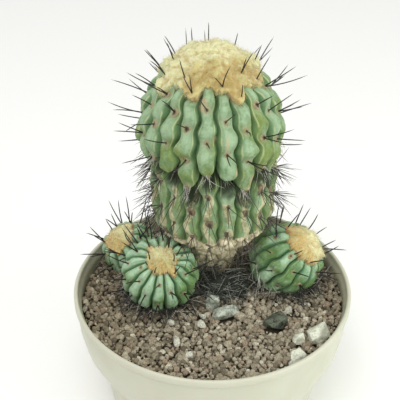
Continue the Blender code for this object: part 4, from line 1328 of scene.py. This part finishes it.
def makeStone(node, paint, slotName):
    # the model's own broken shape, with worn edges and a rough face
    look = stoneLook
    bm = bmesh.new()
    bm.from_mesh(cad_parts[node].data)
    bmesh.ops.remove_doubles(bm, verts=bm.verts, dist=1e-5)
    bmesh.ops.dissolve_limit(bm, angle_limit=math.radians(4), verts=bm.verts, edges=bm.edges)
    bmesh.ops.bevel(bm, geom=bm.edges[:], offset=look["bevel"] / 1000, segments=2, profile=0.6, affect="EDGES")
    bmesh.ops.triangulate(bm, faces=bm.faces)
    bmesh.ops.subdivide_edges(bm, edges=bm.edges[:], cuts=look["cuts"], use_grid_fill=True)
    bmesh.ops.recalc_face_normals(bm, faces=bm.faces)
    bm.normal_update()
    rough = look["roughest"].get(node, look["rough"])
    for vert in bm.verts:
        push = sum(noise.noise(vert.co * 1000 / size) * tall for size, tall in look["bumps"])
        vert.co += vert.normal * push * rough / 1000
    bmesh.ops.triangulate(bm, faces=bm.faces)
    mesh = bpy.data.meshes.new(node)
    bm.to_mesh(mesh)
    bm.free()
    mesh.shade_smooth()
    settle(node + "Rough", mesh, paint, [node])


stonePaints = {kind: stonePaint(kind + "Stone", stoneLook[kind]) for kind in ("grey", "pale", "dark")}
for stoneName in stoneNames:
    kind = stoneLook["kinds"].get(stoneName, "pale")
    makeStone(stoneName, stonePaints[kind], "dark_stone" if kind == "dark" else "pale_stone")
print("stones placed")


# Floor, light and camera

stageLook = dict(
    floor=tint(247, 247, 245), floorCloud=tint(240, 240, 238), reach=6.0, air=(1.0, 1.0, 0.99, 1), sky=0.78,
    # (place in metres, size, power, colour), all aimed at one spot
    lights=dict(keyLight=((-0.17, -0.42, 0.99), 0.6, 5.0, (1, 1, 1)),
                fillLight=((0.85, -0.35, 0.3), 0.7, 4.2, (0.93, 1.0, 0.93))),
    aim=(0, 0.02, 0.1),
    cameraAt=(-6.67, -388.6, 392.7), pitch=33.81, lens=82.29,
)


def makeFloor():
    mesh = bpy.data.meshes.new("floor")
    reach = stageLook["reach"]
    corners = [(-reach, -reach, 0), (reach, -reach, 0), (reach, reach, 0), (-reach, reach, 0)]
    mesh.from_pydata(corners, [], [(0, 1, 2, 3)])
    floor = bpy.data.objects.new("floor", mesh)
    bpy.context.scene.collection.objects.link(floor)
    paint = Paint("floorPaper", Roughness=0.9)
    paint.set(Base_Color=paint.mix(paint.mottle(300.0) * 0.1, stageLook["floor"], stageLook["floorCloud"]))
    mesh.materials.append(paint.material)


def makeLight():
    world = bpy.data.worlds.new("softRoom")
    world.use_nodes = True
    air = world.node_tree.nodes["Background"].inputs
    air["Color"].default_value = stageLook["air"]
    air["Strength"].default_value = stageLook["sky"]
    bpy.context.scene.world = world
    for name, (place, size, power, colour) in stageLook["lights"].items():
        light = bpy.data.lights.new(name, "AREA")
        light.color, light.size, light.energy = colour, size, power
        lamp = bpy.data.objects.new(name, light)
        lamp.location = place
        lamp.rotation_euler = (Vector(stageLook["aim"]) - lamp.location).to_track_quat("-Z", "Y").to_euler()
        bpy.context.scene.collection.objects.link(lamp)


def makeCamera():
    camera = bpy.data.objects.new("camera", bpy.data.cameras.new("camera"))
    camera.data.lens = stageLook["lens"]
    camera.data.sensor_width = 36
    camera.location = Vector(stageLook["cameraAt"]) / 1000
    camera.rotation_euler = (math.radians(90 - stageLook["pitch"]), 0, 0)
    bpy.context.scene.collection.objects.link(camera)
    bpy.context.scene.camera = camera
    bpy.context.scene.view_settings.view_transform = "Standard"


makeFloor()
makeLight()
makeCamera()
